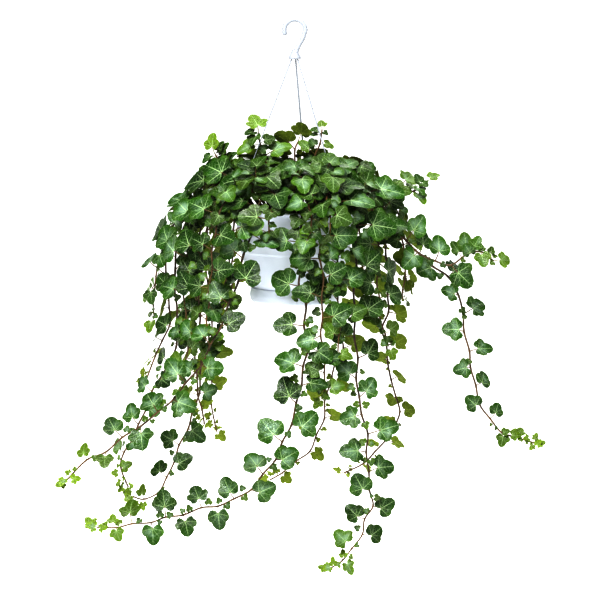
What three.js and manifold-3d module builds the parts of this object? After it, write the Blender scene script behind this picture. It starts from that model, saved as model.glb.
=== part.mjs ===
import * as THREE from 'three';
import { mergeVertices } from 'three/addons/utils/BufferGeometryUtils.js';
import Module from 'manifold-3d';

// A trailing english ivy in a plastic hanging pot with a clipped-on saucer, a hook and three strands.
// Millimetres, +Z up. The origin is the seat inside the hook's crook, and everything hangs below it.
// Azimuths are in degrees from the front, which is -Y, and grow towards the right, which is +X.

// Pot, saucer and soil
const ROUND_SIDES = 24;
const RIM_TOP = -274;
const RIM_RADIUS = 95;
const RIM_THICKNESS = 3.5;
const NECK_RADIUS = 88.4;
const POT_WALL = 2.2;
const POT_BELLY = [[82, -337], [69.5, -375], [63.2, -391]];
const POT_FOOT_RADIUS = 58;
const POT_FOOT_CORNER = 4;
const SAUCER_BASE = -414;
const SAUCER_TOP = -391;
const SAUCER_RADIUS = 67.5;
const SAUCER_WALL = 1.9;
const SAUCER_FOOT_INSET = 7;
const SAUCER_CORNER_HEIGHT = 6;
const SAUCER_BULGE_HEIGHT = 12;
const SAUCER_LIP_INSET = 2;
const SEAT_GAP = 0.3;
const DRAIN_HOLES = 4;
const DRAIN_RADIUS = 4;
const DRAIN_CIRCLE = 38;
const HOLE_SIDES = 6;
const OVERFLOW_AZIMUTH = 30;
const OVERFLOW_RADIUS = 1.6;
const OVERFLOW_HEIGHT = -403;
const SOIL_TOP = -286;
const SOIL_WALL_GAP = 1.6 * SEAT_GAP;
const ROOT_HOLE = 4;
const ROOT_DEPTH = 24;

// Hanger
const HOOK_ROD = 3.3;
const CROOK_RADIUS = 15.5;
const CROOK_CENTRE = -12.2;
const CROOK_END = 200;
const CROOK_STEP = 20;
const CROOK_TIP_SHARE = 0.6;
const SHANK = [[11.7, -24], [6.3, -33], [2.2, -41.5], [0, -50]];
const HOOK_SIDES = 10;
const HUB_TOP = -44;
const HUB_BASE = -54;
const HUB_RADIUS = 9;
const HUB_SKIRT = 3;
const STRAND_AZIMUTHS = [-72, 48, 168];
const STRAND_TOP_RADIUS = 5;
const STRAND_RADIUS = 91;
const STRAND_BEND = -266;
const STRAND_SECTION_TOP = [2.2, 2.4];
const STRAND_SECTION_FOOT = [1.8, 4.6];
const CLIP_HEAD = [2.6, 8];
const CLIP_LENGTH = 4;

// Ivy
const ROOT_TOP = SOIL_TOP + 4;
const STEM_RADIUS_ROOT = 1.7;
const STEM_RADIUS_TIP = 1.1;
const STEM_ZIGZAG = 1.6;
const STEM_SIDES = 3;
const STALK_RADIUS = 0.6;
const STALK_REACH = 0.35;
const STALK_SKIP = 3;
const FACET_LENGTH = 2.6;
const BLADE_THICKNESS = 0.8;
const BLADE_FOLD = 0.13;
const BLADE_DROOP = 0.1;
const LEAF_CLEARANCE = 0.8;
const FIRST_LEAF = [26, 34];
const SPACING_SPREAD = [0.88, 1.12];
const SPACING_TAPER = 0.3;
const LAST_SPACE = 0.4;
const RING_SPACING = 9;
const CROWN_REACH = 60;
const CROWN_FADE = 110;
const TRIES = 12;
const TRY_SHRINK = 0.02;
const TRY_LOOSEN = 0.22;
const TILT_HANGING = 24;
const TILT_CROWN = 22;
const TANGENT_REACH = 4;
const BENDS = 3;
const CURVE_STEPS = 16;

// Draws of a leaf as [low, high]: its size, the way of its stalk, the turn of its blade and the lean of its tip
const SIZE_SPREAD = [0.92, 1.2];
const STALK_SIDE = [0.6, 0.9];
const STALK_LIGHT = [0.2, 0.5];
const STALK_UP = [0.1, 0.5];
const STALK_ALONG = [-0.1, 0.35];
const STALK_LENGTH = [0.42, 0.62];
const TURN_SIDE = [-0.15, 0.4];
const TURN_ALONG = [-0.3, 0.3];
const TURN_UP = [-0.15, 0.2];
const TIP_LEAN = [-0.2, 1];
const CROWN_LEAN = 0.8;
const WIDTH_SPREAD = [0.9, 1.08];

// The last leaf of a stem grows on along it, and the leaves near the tip are young and smaller
const LAST_STALK_SIDE = 0.25;
const LAST_STALK_ALONG = 0.8;
const VINE_YOUNG = [0.62, 0.8, 0.92];
const SPRIG_YOUNG = [0.8, 0.9];

// Right half of a blade's outline, from the notch to the tip, for a blade one unit long
const HALF_OUTLINE = [[0.35, -0.23], [0.61, 0.14], [0.39, 0.5]];
const BLADE_TIP = 0.95;

const finish = (colour, roughness) =>
  new THREE.MeshStandardMaterial({ color: colour, roughness, metalness: 0 });
const FINISHES = {
  pot: finish(0xdfe4ee, 0.45),
  hanger: finish(0xeef0f4, 0.4),
  soil: finish(0x2c211a, 0.95),
  ivy: finish(0x2f6326, 0.5),
  trailing: finish(0x3d7430, 0.5),
};

// Stems: where each stands in the soil, the way its leaves look, the blade lengths at its start and end,
// the distance between leaves, the side of its first leaf, and its route over the rim
const STEMS = [
  {
    name: 'vine_front_long', root: [-6, -52], facing: 0, blade: [35, 25], spacing: 34, side: -1,
    route: [[4, -80, -250], [8, -106, -262], [8, -118, -320], [8, -116, -384], [18, -116, -412],
      [14, -118, -440], [18, -118, -462], [8, -120, -520], [-2, -124, -564], [-32, -132, -630],
      [-78, -140, -678], [-138, -144, -696], [-186, -148, -708], [-240, -150, -718], [-284, -152, -720]],
  },
  {
    name: 'vine_front_left_long', root: [-26, -46], facing: -12, blade: [36, 22], spacing: 38, side: 1,
    route: [[-34, -78, -240], [-50, -106, -258], [-60, -118, -292], [-76, -120, -346], [-88, -118, -388],
      [-110, -122, -440], [-140, -126, -496], [-192, -130, -554], [-226, -132, -578],
      [-272, -136, -612], [-308, -138, -632], [-328, -140, -654]],
  },
  {
    name: 'vine_left_inner', root: [-38, -36], facing: -20, blade: [38, 28], spacing: 32, side: -1,
    route: [[-54, -66, -236], [-78, -96, -258], [-90, -112, -302], [-96, -108, -358], [-104, -104, -410],
      [-110, -100, -450]],
  },
  {
    name: 'vine_left_front', root: [-46, -26], facing: -30, blade: [38, 26], spacing: 32, side: 1,
    route: [[-72, -52, -232], [-98, -90, -252], [-114, -106, -300], [-120, -108, -360],
      [-126, -104, -426], [-124, -100, -472]],
  },
  {
    name: 'vine_left_hooked', root: [-54, -16], facing: -25, blade: [36, 20], spacing: 34, side: -1,
    route: [[-84, -38, -232], [-110, -68, -256], [-130, -82, -306], [-138, -84, -386], [-138, -84, -458],
      [-138, -84, -524], [-156, -84, -586], [-174, -82, -628], [-190, -80, -670], [-206, -78, -690],
      [-224, -78, -700], [-240, -78, -694]],
  },
  {
    name: 'vine_left_mid', root: [-60, -4], facing: -40, blade: [38, 26], spacing: 33, side: 1,
    route: [[-92, -14, -232], [-126, -38, -256], [-150, -52, -308], [-162, -56, -390], [-158, -56, -464],
      [-164, -54, -528]],
  },
  {
    name: 'vine_left_lower', root: [-62, 8], facing: -40, blade: [36, 20], spacing: 35, side: -1,
    route: [[-98, 2, -230], [-134, -8, -254], [-164, -18, -298], [-178, -24, -356], [-176, -26, -424],
      [-180, -26, -488], [-208, -24, -536], [-236, -22, -602], [-256, -22, -640], [-264, -22, -668],
      [-252, -22, -694]],
  },
  {
    name: 'vine_left_outer', root: [-60, 20], facing: -60, blade: [36, 26], spacing: 33, side: 1,
    route: [[-102, 22, -226], [-144, 22, -250], [-180, 14, -296], [-202, 8, -350], [-212, 6, -400],
      [-212, 6, -440]],
  },
  {
    name: 'vine_far_left', root: [-50, 32], facing: -105, blade: [34, 26], spacing: 34, side: -1,
    route: [[-92, 44, -226], [-134, 54, -250], [-168, 56, -294], [-196, 54, -342], [-194, 50, -412],
      [-192, 48, -456], [-212, 44, -498], [-228, 42, -540]],
  },
  {
    name: 'vine_back_left_long', root: [-40, 44], facing: -150, blade: [36, 22], spacing: 36, side: 1,
    route: [[-82, 66, -220], [-112, 94, -242], [-134, 108, -302], [-138, 110, -396], [-130, 108, -490],
      [-132, 104, -576], [-124, 100, -636]],
  },
  {
    name: 'vine_back_left', root: [-24, 54], facing: -165, blade: [36, 26], spacing: 34, side: -1,
    route: [[-56, 84, -218], [-80, 112, -240], [-94, 126, -294], [-98, 128, -366], [-102, 124, -424]],
  },
  {
    name: 'vine_back_centre', root: [-4, 58], facing: 180, blade: [36, 26], spacing: 33, side: 1,
    route: [[-16, 88, -220], [-24, 118, -244], [-30, 130, -304], [-26, 128, -372]],
  },
  {
    name: 'vine_back_long', root: [18, 56], facing: 170, blade: [34, 20], spacing: 35, side: -1,
    route: [[36, 84, -220], [42, 114, -244], [50, 124, -310], [60, 122, -396], [70, 118, -474],
      [74, 114, -506], [62, 112, -536], [50, 110, -574], [44, 108, -618], [22, 106, -668],
      [-10, 104, -694], [-40, 100, -714]],
  },
  {
    name: 'vine_back_right', root: [34, 48], facing: 150, blade: [36, 26], spacing: 33, side: 1,
    route: [[64, 72, -228], [86, 100, -250], [100, 110, -310], [108, 112, -388], [118, 108, -452]],
  },
  {
    name: 'vine_right_zigzag', root: [48, 36], facing: 140, blade: [32, 18], spacing: 34, side: -1,
    route: [[80, 54, -230], [112, 74, -254], [132, 82, -302], [142, 82, -364], [144, 80, -436],
      [136, 80, -466], [144, 80, -512], [150, 80, -558], [162, 80, -586], [158, 80, -620],
      [140, 78, -644], [118, 76, -672], [76, 72, -696]],
  },
  {
    name: 'vine_right_back_short', root: [58, 24], facing: 110, blade: [34, 24], spacing: 33, side: 1,
    route: [[90, 36, -226], [126, 48, -248], [154, 54, -296], [168, 54, -360], [164, 54, -418]],
  },
  {
    name: 'vine_right_arching', root: [62, 8], facing: 25, blade: [34, 18], spacing: 34, side: -1,
    route: [[92, 14, -228], [126, 20, -246], [154, 22, -284], [170, 20, -330], [198, 18, -354],
      [232, 16, -382], [246, 14, -400], [254, 10, -448], [262, 8, -490], [272, 6, -542],
      [282, 4, -574], [304, 2, -606], [330, 0, -622], [366, 0, -632]],
  },
  {
    name: 'vine_right_upper', root: [58, -8], facing: 15, blade: [30, 28], spacing: 32, side: 1,
    route: [[86, -14, -234], [118, -30, -258], [144, -38, -300], [178, -40, -332], [212, -42, -352],
      [238, -42, -350], [268, -42, -332], [292, -44, -348]],
  },
  {
    name: 'vine_right_mid', root: [54, -20], facing: 30, blade: [38, 28], spacing: 32, side: -1,
    route: [[84, -34, -238], [108, -62, -258], [122, -76, -312], [120, -78, -372], [126, -78, -434],
      [136, -78, -468]],
  },
  {
    name: 'vine_right_long', root: [46, -32], facing: 12, blade: [38, 22], spacing: 34, side: 1,
    route: [[70, -52, -240], [86, -86, -260], [88, -102, -318], [86, -102, -384], [86, -100, -430],
      [90, -98, -488], [92, -98, -540], [104, -98, -588], [106, -98, -638], [108, -98, -668],
      [114, -98, -698], [102, -98, -728], [94, -98, -756], [76, -98, -778], [52, -98, -798]],
  },
  {
    name: 'vine_right_front', root: [30, -44], facing: 8, blade: [40, 30], spacing: 33, side: -1,
    route: [[44, -74, -242], [56, -104, -260], [62, -118, -318], [62, -118, -382], [66, -116, -432],
      [62, -114, -470]],
  },
  {
    name: 'vine_front_right', root: [14, -52], facing: 4, blade: [38, 26], spacing: 33, side: 1,
    route: [[26, -82, -246], [32, -110, -262], [36, -124, -320], [40, -124, -380], [38, -122, -438],
      [44, -118, -498], [40, -116, -536]],
  },
  {
    name: 'vine_left_back_long', root: [-44, 20], facing: -125, blade: [34, 24], spacing: 35, side: 1,
    route: [[-88, 32, -228], [-126, 46, -262], [-146, 54, -320], [-152, 54, -410], [-154, 54, -490],
      [-150, 50, -560], [-140, 46, -612]],
  },
  {
    name: 'vine_short_front_left', root: [-14, -38], facing: -6, blade: [34, 32], spacing: 27, side: 1,
    route: [[-22, -68, -248], [-28, -98, -248], [-34, -122, -268], [-36, -130, -300]],
  },
  {
    name: 'vine_short_front', root: [4, -38], facing: 0, blade: [34, 32], spacing: 27, side: -1,
    route: [[14, -68, -242], [18, -98, -246], [22, -124, -268], [22, -134, -300]],
  },
  {
    name: 'vine_short_front_right', root: [22, -34], facing: 10, blade: [34, 32], spacing: 27, side: 1,
    route: [[36, -66, -234], [44, -98, -240], [48, -126, -264], [50, -136, -294]],
  },
  {
    name: 'sprig_top_left', root: [-44, 8], facing: -40, blade: [30, 28], spacing: 24, side: 1,
    route: [[-72, 10, -244], [-98, 6, -222], [-118, -4, -194]],
  },
  {
    name: 'sprig_top_centre_left', root: [-22, 10], facing: -20, blade: [32, 30], spacing: 22, side: -1,
    route: [[-32, 6, -244], [-42, 0, -206], [-54, -2, -164]],
  },
  {
    name: 'sprig_top_centre', root: [8, 6], facing: 10, blade: [30, 18], spacing: 22, side: 1,
    route: [[16, 6, -240], [30, 2, -200], [40, 0, -158]],
  },
  {
    name: 'sprig_top_back', root: [0, 26], facing: 180, blade: [34, 30], spacing: 26, side: -1,
    route: [[-4, 32, -240], [-2, 36, -206], [4, 38, -178]],
  },
  {
    name: 'sprig_right_upper', root: [44, 14], facing: 20, blade: [28, 24], spacing: 24, side: 1,
    route: [[84, 21, -244], [120, 32, -254], [148, 34, -246], [178, 30, -250], [198, 28, -238]],
  },
  {
    name: 'sprig_upper_right', root: [28, -2], facing: 20, blade: [34, 26], spacing: 27, side: -1,
    route: [[48, -6, -240], [72, -10, -226], [90, -12, -222]],
  },
  {
    name: 'sprig_front_left', root: [-18, -24], facing: -10, blade: [36, 30], spacing: 28, side: 1,
    route: [[-34, -48, -234], [-50, -80, -220], [-60, -104, -226]],
  },
  {
    name: 'sprig_front', root: [-2, -22], facing: 0, blade: [36, 30], spacing: 28, side: -1,
    route: [[-2, -44, -232], [2, -76, -214], [6, -104, -222]],
  },
  {
    name: 'sprig_front_right', root: [14, -22], facing: 12, blade: [36, 30], spacing: 28, side: 1,
    route: [[26, -46, -228], [40, -76, -212], [52, -102, -220]],
  },
  {
    name: 'sprig_left', root: [-34, -4], facing: -60, blade: [36, 28], spacing: 28, side: -1,
    route: [[-58, 0, -230], [-86, -6, -218], [-112, -14, -222]],
  },
  {
    name: 'sprig_left_back', root: [-26, 30], facing: -120, blade: [36, 26], spacing: 28, side: 1,
    route: [[-50, 44, -228], [-78, 54, -218], [-100, 60, -224]],
  },
  {
    name: 'sprig_back', root: [-6, 40], facing: 175, blade: [36, 26], spacing: 28, side: -1,
    route: [[-14, 64, -226], [-20, 92, -216], [-24, 114, -226]],
  },
  {
    name: 'sprig_right_back', root: [24, 34], facing: 130, blade: [36, 26], spacing: 28, side: 1,
    route: [[46, 52, -236], [72, 64, -230], [96, 70, -238]],
  },
  {
    name: 'sprig_right', root: [36, 4], facing: 60, blade: [36, 28], spacing: 28, side: -1,
    route: [[58, 4, -236], [84, -2, -228], [110, -12, -236]],
  },
];

const wasm = await Module();
wasm.setup();

const radians = THREE.MathUtils.degToRad;
const vec = (x, y, z) => new THREE.Vector3(x, y, z);
const UP = vec(0, 0, 1);

// Point at a distance from the upright axis, at an azimuth and a height
const around = (radius, azimuth, z) =>
  vec(radius * Math.sin(radians(azimuth)), -radius * Math.cos(radians(azimuth)), z);

// Closed mesh data as a solid
function solid(positions, triangles) {
  return new wasm.Manifold(new wasm.Mesh({
    numProp: 3,
    vertProperties: new Float32Array(positions),
    triVerts: new Uint32Array(triangles),
  }));
}

// A three.js geometry as a solid
function solidFrom(geometry) {
  const bare = geometry.clone();
  bare.deleteAttribute('normal');
  bare.deleteAttribute('uv');
  const merged = mergeVertices(bare, 1e-4);
  return solid(merged.attributes.position.array, merged.index.array);
}

// A solid as a named mesh
function meshOf(name, body, material) {
  const data = body.getMesh();
  const geometry = new THREE.BufferGeometry();
  geometry.setAttribute('position', new THREE.BufferAttribute(data.vertProperties, 3));
  geometry.setIndex(new THREE.BufferAttribute(data.triVerts, 1));
  geometry.computeVertexNormals();
  const mesh = new THREE.Mesh(geometry, material);
  mesh.name = name;
  return mesh;
}

// Solid turned about the upright axis from a profile of [radius, height] points that runs from axis to axis
function turned(profile) {
  const points = profile.map(([radius, height]) => new THREE.Vector2(radius, height));
  return solidFrom(new THREE.LatheGeometry(points, ROUND_SIDES).rotateX(Math.PI / 2));
}

// Solid lofted through rings of equal point count, closed by a fan at either end
function lofted(rings) {
  const sides = rings[0].length;
  const positions = rings.flat().flatMap((p) => p.toArray());
  const triangles = [];
  for (let r = 0; r + 1 < rings.length; r += 1) {
    for (let i = 0; i < sides; i += 1) {
      const a = r * sides + i;
      const b = r * sides + ((i + 1) % sides);
      triangles.push(a, b, b + sides, a, b + sides, a + sides);
    }
  }
  const last = (rings.length - 1) * sides;
  for (let i = 1; i + 1 < sides; i += 1) {
    triangles.push(0, i + 1, i, last, last + i, last + i + 1);
  }
  return solid(positions, triangles);
}

// Rings of a tube along a polyline, each square to the path, with a radius for each point
function tubeRings(path, radii, sides) {
  const rings = [];
  let across = null;
  path.forEach((point, i) => {
    const before = path[Math.max(i - 1, 0)];
    const after = path[Math.min(i + 1, path.length - 1)];
    const along = after.clone().sub(before).normalize();
    if (!across) {
      across = Math.abs(along.z) < 0.9 ? UP.clone() : vec(1, 0, 0);
    }
    across.addScaledVector(along, -across.dot(along)).normalize();
    const other = along.clone().cross(across);
    const ring = [];
    for (let k = 0; k < sides; k += 1) {
      const turn = (2 * Math.PI * k) / sides;
      ring.push(point.clone()
        .addScaledVector(across, radii[i] * Math.cos(turn))
        .addScaledVector(other, radii[i] * Math.sin(turn)));
    }
    rings.push(ring);
  });
  return rings;
}

// Upright round bar that cuts a hole
function upright(radius, sides, x, y, low, high) {
  const geometry = new THREE.CylinderGeometry(radius, radius, high - low, sides);
  return solidFrom(geometry.rotateX(Math.PI / 2).translate(x, y, (low + high) / 2));
}

// Pot with a flat flange at the rim, slots for the three clips, and drain holes in its base
function makePot() {
  const base = SAUCER_BASE + SAUCER_WALL + SEAT_GAP;
  const floor = base + POT_WALL;
  const outer = POT_BELLY.slice().reverse();
  const inner = POT_BELLY.map(([radius, z]) => [radius - POT_WALL, z]);
  let pot = turned([
    [0, base], [POT_FOOT_RADIUS, base], [POT_FOOT_RADIUS + POT_FOOT_CORNER, base + POT_FOOT_CORNER],
    ...outer, [NECK_RADIUS, RIM_TOP - RIM_THICKNESS],
    [RIM_RADIUS, RIM_TOP - RIM_THICKNESS], [RIM_RADIUS, RIM_TOP], [NECK_RADIUS - POT_WALL, RIM_TOP],
    ...inner, [POT_FOOT_RADIUS, floor], [0, floor],
  ]);
  for (const azimuth of STRAND_AZIMUTHS) {
    const [depth, width] = STRAND_SECTION_FOOT;
    const slot = new THREE.BoxGeometry(width + 2 * SEAT_GAP, depth + 2 * SEAT_GAP, 4 * RIM_THICKNESS);
    slot.translate(0, -STRAND_RADIUS, RIM_TOP).rotateZ(radians(azimuth));
    pot = pot.subtract(solidFrom(slot));
  }
  for (let i = 0; i < DRAIN_HOLES; i += 1) {
    const centre = around(DRAIN_CIRCLE, (360 * (i + 0.5)) / DRAIN_HOLES, base);
    pot = pot.subtract(upright(DRAIN_RADIUS, HOLE_SIDES, centre.x, centre.y, base - 1, floor + 1));
  }
  return pot;
}

// Saucer with a rounded wall and a small overflow hole
function makeSaucer() {
  const inside = SAUCER_RADIUS - SAUCER_WALL;
  const corner = SAUCER_BASE + SAUCER_CORNER_HEIGHT;
  const bulge = SAUCER_BASE + SAUCER_BULGE_HEIGHT;
  const saucer = turned([
    [0, SAUCER_BASE], [SAUCER_RADIUS - SAUCER_FOOT_INSET, SAUCER_BASE], [SAUCER_RADIUS - 1, corner],
    [SAUCER_RADIUS, bulge], [SAUCER_RADIUS - SAUCER_LIP_INSET, SAUCER_TOP],
    [inside - SAUCER_LIP_INSET, SAUCER_TOP], [inside, bulge],
    [inside - 1, corner + 1], [inside - SAUCER_FOOT_INSET + 1, SAUCER_BASE + SAUCER_WALL],
    [0, SAUCER_BASE + SAUCER_WALL],
  ]);
  const hole = new THREE.CylinderGeometry(OVERFLOW_RADIUS, OVERFLOW_RADIUS, 10, HOLE_SIDES);
  hole.translate(0, -SAUCER_RADIUS, 0).rotateZ(radians(OVERFLOW_AZIMUTH)).translate(0, 0, OVERFLOW_HEIGHT);
  return saucer.subtract(solidFrom(hole));
}

// Soil that fills the pot, with a plain hole for each root
function makeSoil() {
  const floor = SAUCER_BASE + SAUCER_WALL + POT_WALL + 2 * SEAT_GAP;
  const wall = POT_WALL + SOIL_WALL_GAP;
  const belly = POT_BELLY.slice().reverse().map(([radius, z]) => [radius - wall, z]);
  let soil = turned([
    [0, floor], [POT_FOOT_RADIUS - 1, floor], ...belly,
    [NECK_RADIUS - wall - 1, SOIL_TOP], [0, SOIL_TOP],
  ]);
  for (const { root: [x, y] } of STEMS) {
    const hole = new THREE.BoxGeometry(ROOT_HOLE, ROOT_HOLE, 2 * ROOT_DEPTH);
    soil = soil.subtract(solidFrom(hole.translate(x, y, SOIL_TOP)));
  }
  return soil;
}

// Moulded hook: a round crook that runs down a slanting shank into the hub over the strands
function makeHook() {
  const path = [];
  const radii = [];
  for (let turn = CROOK_END; turn >= 0; turn -= CROOK_STEP) {
    path.push(vec(CROOK_RADIUS * Math.cos(radians(turn)), 0,
      CROOK_CENTRE + CROOK_RADIUS * Math.sin(radians(turn))));
    radii.push(turn === CROOK_END ? HOOK_ROD * CROOK_TIP_SHARE : HOOK_ROD);
  }
  for (const [x, z] of SHANK) {
    path.push(vec(x, 0, z));
    radii.push(HOOK_ROD);
  }
  const rod = lofted(tubeRings(path, radii, HOOK_SIDES));
  const hub = turned([
    [0, HUB_BASE], [HUB_RADIUS, HUB_BASE], [HUB_RADIUS, HUB_BASE + HUB_SKIRT],
    [HOOK_ROD, HUB_TOP], [0, HUB_TOP],
  ]);
  return rod.add(hub);
}

// Strand: a straight strip from the hub to the rim, through its slot, with a wedge-shaped clip below
function makeStrand(azimuth) {
  const outward = around(1, azimuth, 0);
  const along = vec(-outward.y, outward.x, 0);
  const slotEnd = RIM_TOP - RIM_THICKNESS - SEAT_GAP;
  const [topDepth, topWidth] = STRAND_SECTION_TOP;
  const [depth, width] = STRAND_SECTION_FOOT;
  const [clipDepth, clipWidth] = CLIP_HEAD;
  const stations = [
    [slotEnd - CLIP_LENGTH, STRAND_RADIUS, depth / 2, width / 2],
    [slotEnd, STRAND_RADIUS, clipDepth, clipWidth],
    [slotEnd, STRAND_RADIUS, depth, width],
    [STRAND_BEND, STRAND_RADIUS, depth, width],
    [HUB_BASE - SEAT_GAP, STRAND_TOP_RADIUS, topDepth, topWidth],
  ];
  return lofted(stations.map(([z, radius, thick, wide]) => [[-1, -1], [1, -1], [1, 1], [-1, 1]]
    .map(([out, side]) => outward.clone().multiplyScalar(radius + (out * thick) / 2)
      .addScaledVector(along, (side * wide) / 2).setZ(z))));
}

// Repeatable draws between 0 and 1
class Draws {
  constructor(seed) {
    this.state = seed;
    this.next();
    this.next();
  }

  next() {
    this.state = (this.state * 1664525 + 1013904223) % 4294967296;
    return this.state / 4294967296;
  }

  between(low, high) {
    return low + (high - low) * this.next();
  }
}

// One stem: its smooth route above the soil, its leaf nodes, and the frame of each leaf
class Stem {
  constructor(data, number) {
    Object.assign(this, data);
    this.number = number;
    this.isSprig = this.name.startsWith('sprig');
    const [x, y] = this.root;
    this.start = vec(x, y, ROOT_TOP);
    const controls = [this.start, ...this.route.map((p) => vec(...p))];
    const curve = new THREE.CatmullRomCurve3(controls, false, 'catmullrom', 0.5);
    this.samples = curve.getPoints(CURVE_STEPS * (controls.length - 1));
    this.lengths = [0];
    for (let i = 1; i < this.samples.length; i += 1) {
      this.lengths.push(this.lengths[i - 1] + this.samples[i].distanceTo(this.samples[i - 1]));
    }
    this.total = this.lengths.at(-1);
    this.nodes = this.leafDistances();
  }

  // Distances of the leaf nodes along the route, closer together towards the tip
  leafDistances() {
    const draws = new Draws(this.number * 1009 + 17);
    const distances = [];
    let distance = draws.between(...FIRST_LEAF);
    while (distance < this.total - LAST_SPACE * this.spacing) {
      distances.push(distance);
      const taper = 1 - SPACING_TAPER * (distance / this.total);
      distance += this.spacing * taper * draws.between(...SPACING_SPREAD);
    }
    distances.push(this.total);
    return distances;
  }

  pointAt(distance) {
    let i = 1;
    while (i < this.lengths.length - 1 && this.lengths[i] < distance) {
      i += 1;
    }
    const share = (distance - this.lengths[i - 1]) / (this.lengths[i] - this.lengths[i - 1]);
    return this.samples[i - 1].clone().lerp(this.samples[i], share);
  }

  tangentAt(distance) {
    const ahead = this.pointAt(Math.min(distance + TANGENT_REACH, this.total));
    return ahead.sub(this.pointAt(Math.max(distance - TANGENT_REACH, 0))).normalize();
  }

  // Share of crown habit: 1 close to the soil and on sprigs, 0 where the stem hangs
  crownAt(distance) {
    if (this.isSprig) {
      return 1;
    }
    return 1 - THREE.MathUtils.clamp((distance - CROWN_REACH) / CROWN_FADE, 0, 1);
  }

  // Directions at a node: along the stem, towards the light, and to the leaf's own side
  frameAt(index) {
    const distance = this.nodes[index];
    const along = this.tangentAt(distance);
    const crown = this.crownAt(distance);
    const tilt = radians(TILT_HANGING + TILT_CROWN * crown);
    const light = around(Math.cos(tilt), this.facing, Math.sin(tilt));
    const side = along.clone().cross(light).normalize();
    side.multiplyScalar(this.side * (index % 2 === 0 ? 1 : -1));
    const zigzag = index === this.nodes.length - 1 ? 0 : STEM_ZIGZAG;
    const point = this.pointAt(distance).addScaledVector(side, zigzag);
    return { distance, along, crown, light, side, point };
  }

  // Places that the stem's tube passes: root, soil, first bends of the route, and every leaf node
  path() {
    const buried = vec(this.start.x, this.start.y, SOIL_TOP - ROOT_DEPTH + SEAT_GAP);
    const rings = this.nodes.map((distance, node) => ({ distance, node, point: this.frameAt(node).point }));
    for (let bend = 1; bend <= BENDS; bend += 1) {
      const distance = this.lengths[bend * CURVE_STEPS];
      if (rings.every((ring) => Math.abs(ring.distance - distance) > RING_SPACING)) {
        rings.push({ distance, node: -1, point: this.pointAt(distance) });
      }
    }
    rings.push({ distance: -1, node: -1, point: buried }, { distance: 0, node: -1, point: this.start });
    return rings.sort((a, b) => a.distance - b.distance);
  }

  makeTube() {
    return lofted(this.rings());
  }

  // Triangular sections of the stem, from the root to the tip
  rings() {
    const points = this.path().map((ring) => ring.point);
    const radii = points.map((_, i) =>
      THREE.MathUtils.lerp(STEM_RADIUS_ROOT, STEM_RADIUS_TIP, i / (points.length - 1)));
    return tubeRings(points, radii, STEM_SIDES);
  }

  // Where the blade at a node lies: each further try turns it more freely
  leafAt(index, attempt) {
    const { distance, along, crown, light, side, point } = this.frameAt(index);
    const draws = new Draws((this.number * 100 + index) * 32 + attempt);
    const share = distance / this.total;
    const fromTip = this.nodes.length - 1 - index;
    const young = (this.isSprig ? SPRIG_YOUNG : VINE_YOUNG)[fromTip] ?? 1;
    const size = THREE.MathUtils.lerp(this.blade[0], this.blade[1], share) * young
      * draws.between(...SIZE_SPREAD) * (1 - TRY_SHRINK * attempt);
    const loose = 1 + TRY_LOOSEN * attempt;
    const stalk = side.clone().multiplyScalar(fromTip === 0 ? LAST_STALK_SIDE : draws.between(...STALK_SIDE))
      .addScaledVector(light, draws.between(...STALK_LIGHT))
      .addScaledVector(UP, draws.between(...STALK_UP) * (1 - crown))
      .addScaledVector(along, draws.between(...STALK_ALONG) * loose + (fromTip === 0 ? LAST_STALK_ALONG : 0))
      .normalize();
    const notch = point.clone().addScaledVector(stalk, size * draws.between(...STALK_LENGTH));
    const normal = light.clone()
      .addScaledVector(side, draws.between(...TURN_SIDE) * loose)
      .addScaledVector(along, draws.between(...TURN_ALONG) * loose)
      .addScaledVector(UP, draws.between(...TURN_UP) * loose)
      .normalize();
    const lean = draws.between(...TIP_LEAN);
    const tip = stalk.clone()
      .addScaledVector(UP, lean * (1 - crown))
      .addScaledVector(along, CROWN_LEAN * lean * crown);
    tip.addScaledVector(normal, -tip.dot(normal)).normalize();
    const right = tip.clone().cross(normal);
    const width = draws.between(...WIDTH_SPREAD);
    const reach = stalk.dot(tip);
    return { point, notch, size, width, right, tip, normal, reach };
  }
}

// Point of a blade, from unit coordinates across and along it, lifted by the fold and lowered by the droop
function bladePoint(leaf, across, along, lift) {
  const height = leaf.size * (BLADE_FOLD * Math.abs(across) - BLADE_DROOP * along * along) + lift;
  return leaf.notch.clone()
    .addScaledVector(leaf.right, leaf.size * leaf.width * across)
    .addScaledVector(leaf.tip, leaf.size * along)
    .addScaledVector(leaf.normal, height);
}

// Lobed outline of a blade from its notch round to its notch, without the notch itself
const LEFT_OUTLINE = HALF_OUTLINE.map(([across, along]) => [-across, along]).reverse();
const OUTLINE = [...HALF_OUTLINE, [0, BLADE_TIP], ...LEFT_OUTLINE];

// Room that a blade needs: its outline, grown and thickened by the clearance
function bladeRoom(leaf) {
  const stretch = 1 + LEAF_CLEARANCE / (0.4 * leaf.size);
  const outline = [[0, 0], ...OUTLINE]
    .map(([across, along]) => [across * stretch, 0.35 + (along - 0.35) * stretch]);
  const half = BLADE_THICKNESS / 2 + LEAF_CLEARANCE;
  const count = outline.length;
  const positions = [half, -half].flatMap((lift) =>
    outline.flatMap(([across, along]) => bladePoint(leaf, across, along, lift).toArray()));
  const triangles = [];
  for (let i = 1; i + 1 < count; i += 1) {
    triangles.push(0, i, i + 1, count, count + i + 1, count + i);
  }
  for (let i = 0; i < count; i += 1) {
    const j = (i + 1) % count;
    triangles.push(count + i, count + j, j, count + i, j, i);
  }
  return solid(positions, triangles);
}

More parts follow.
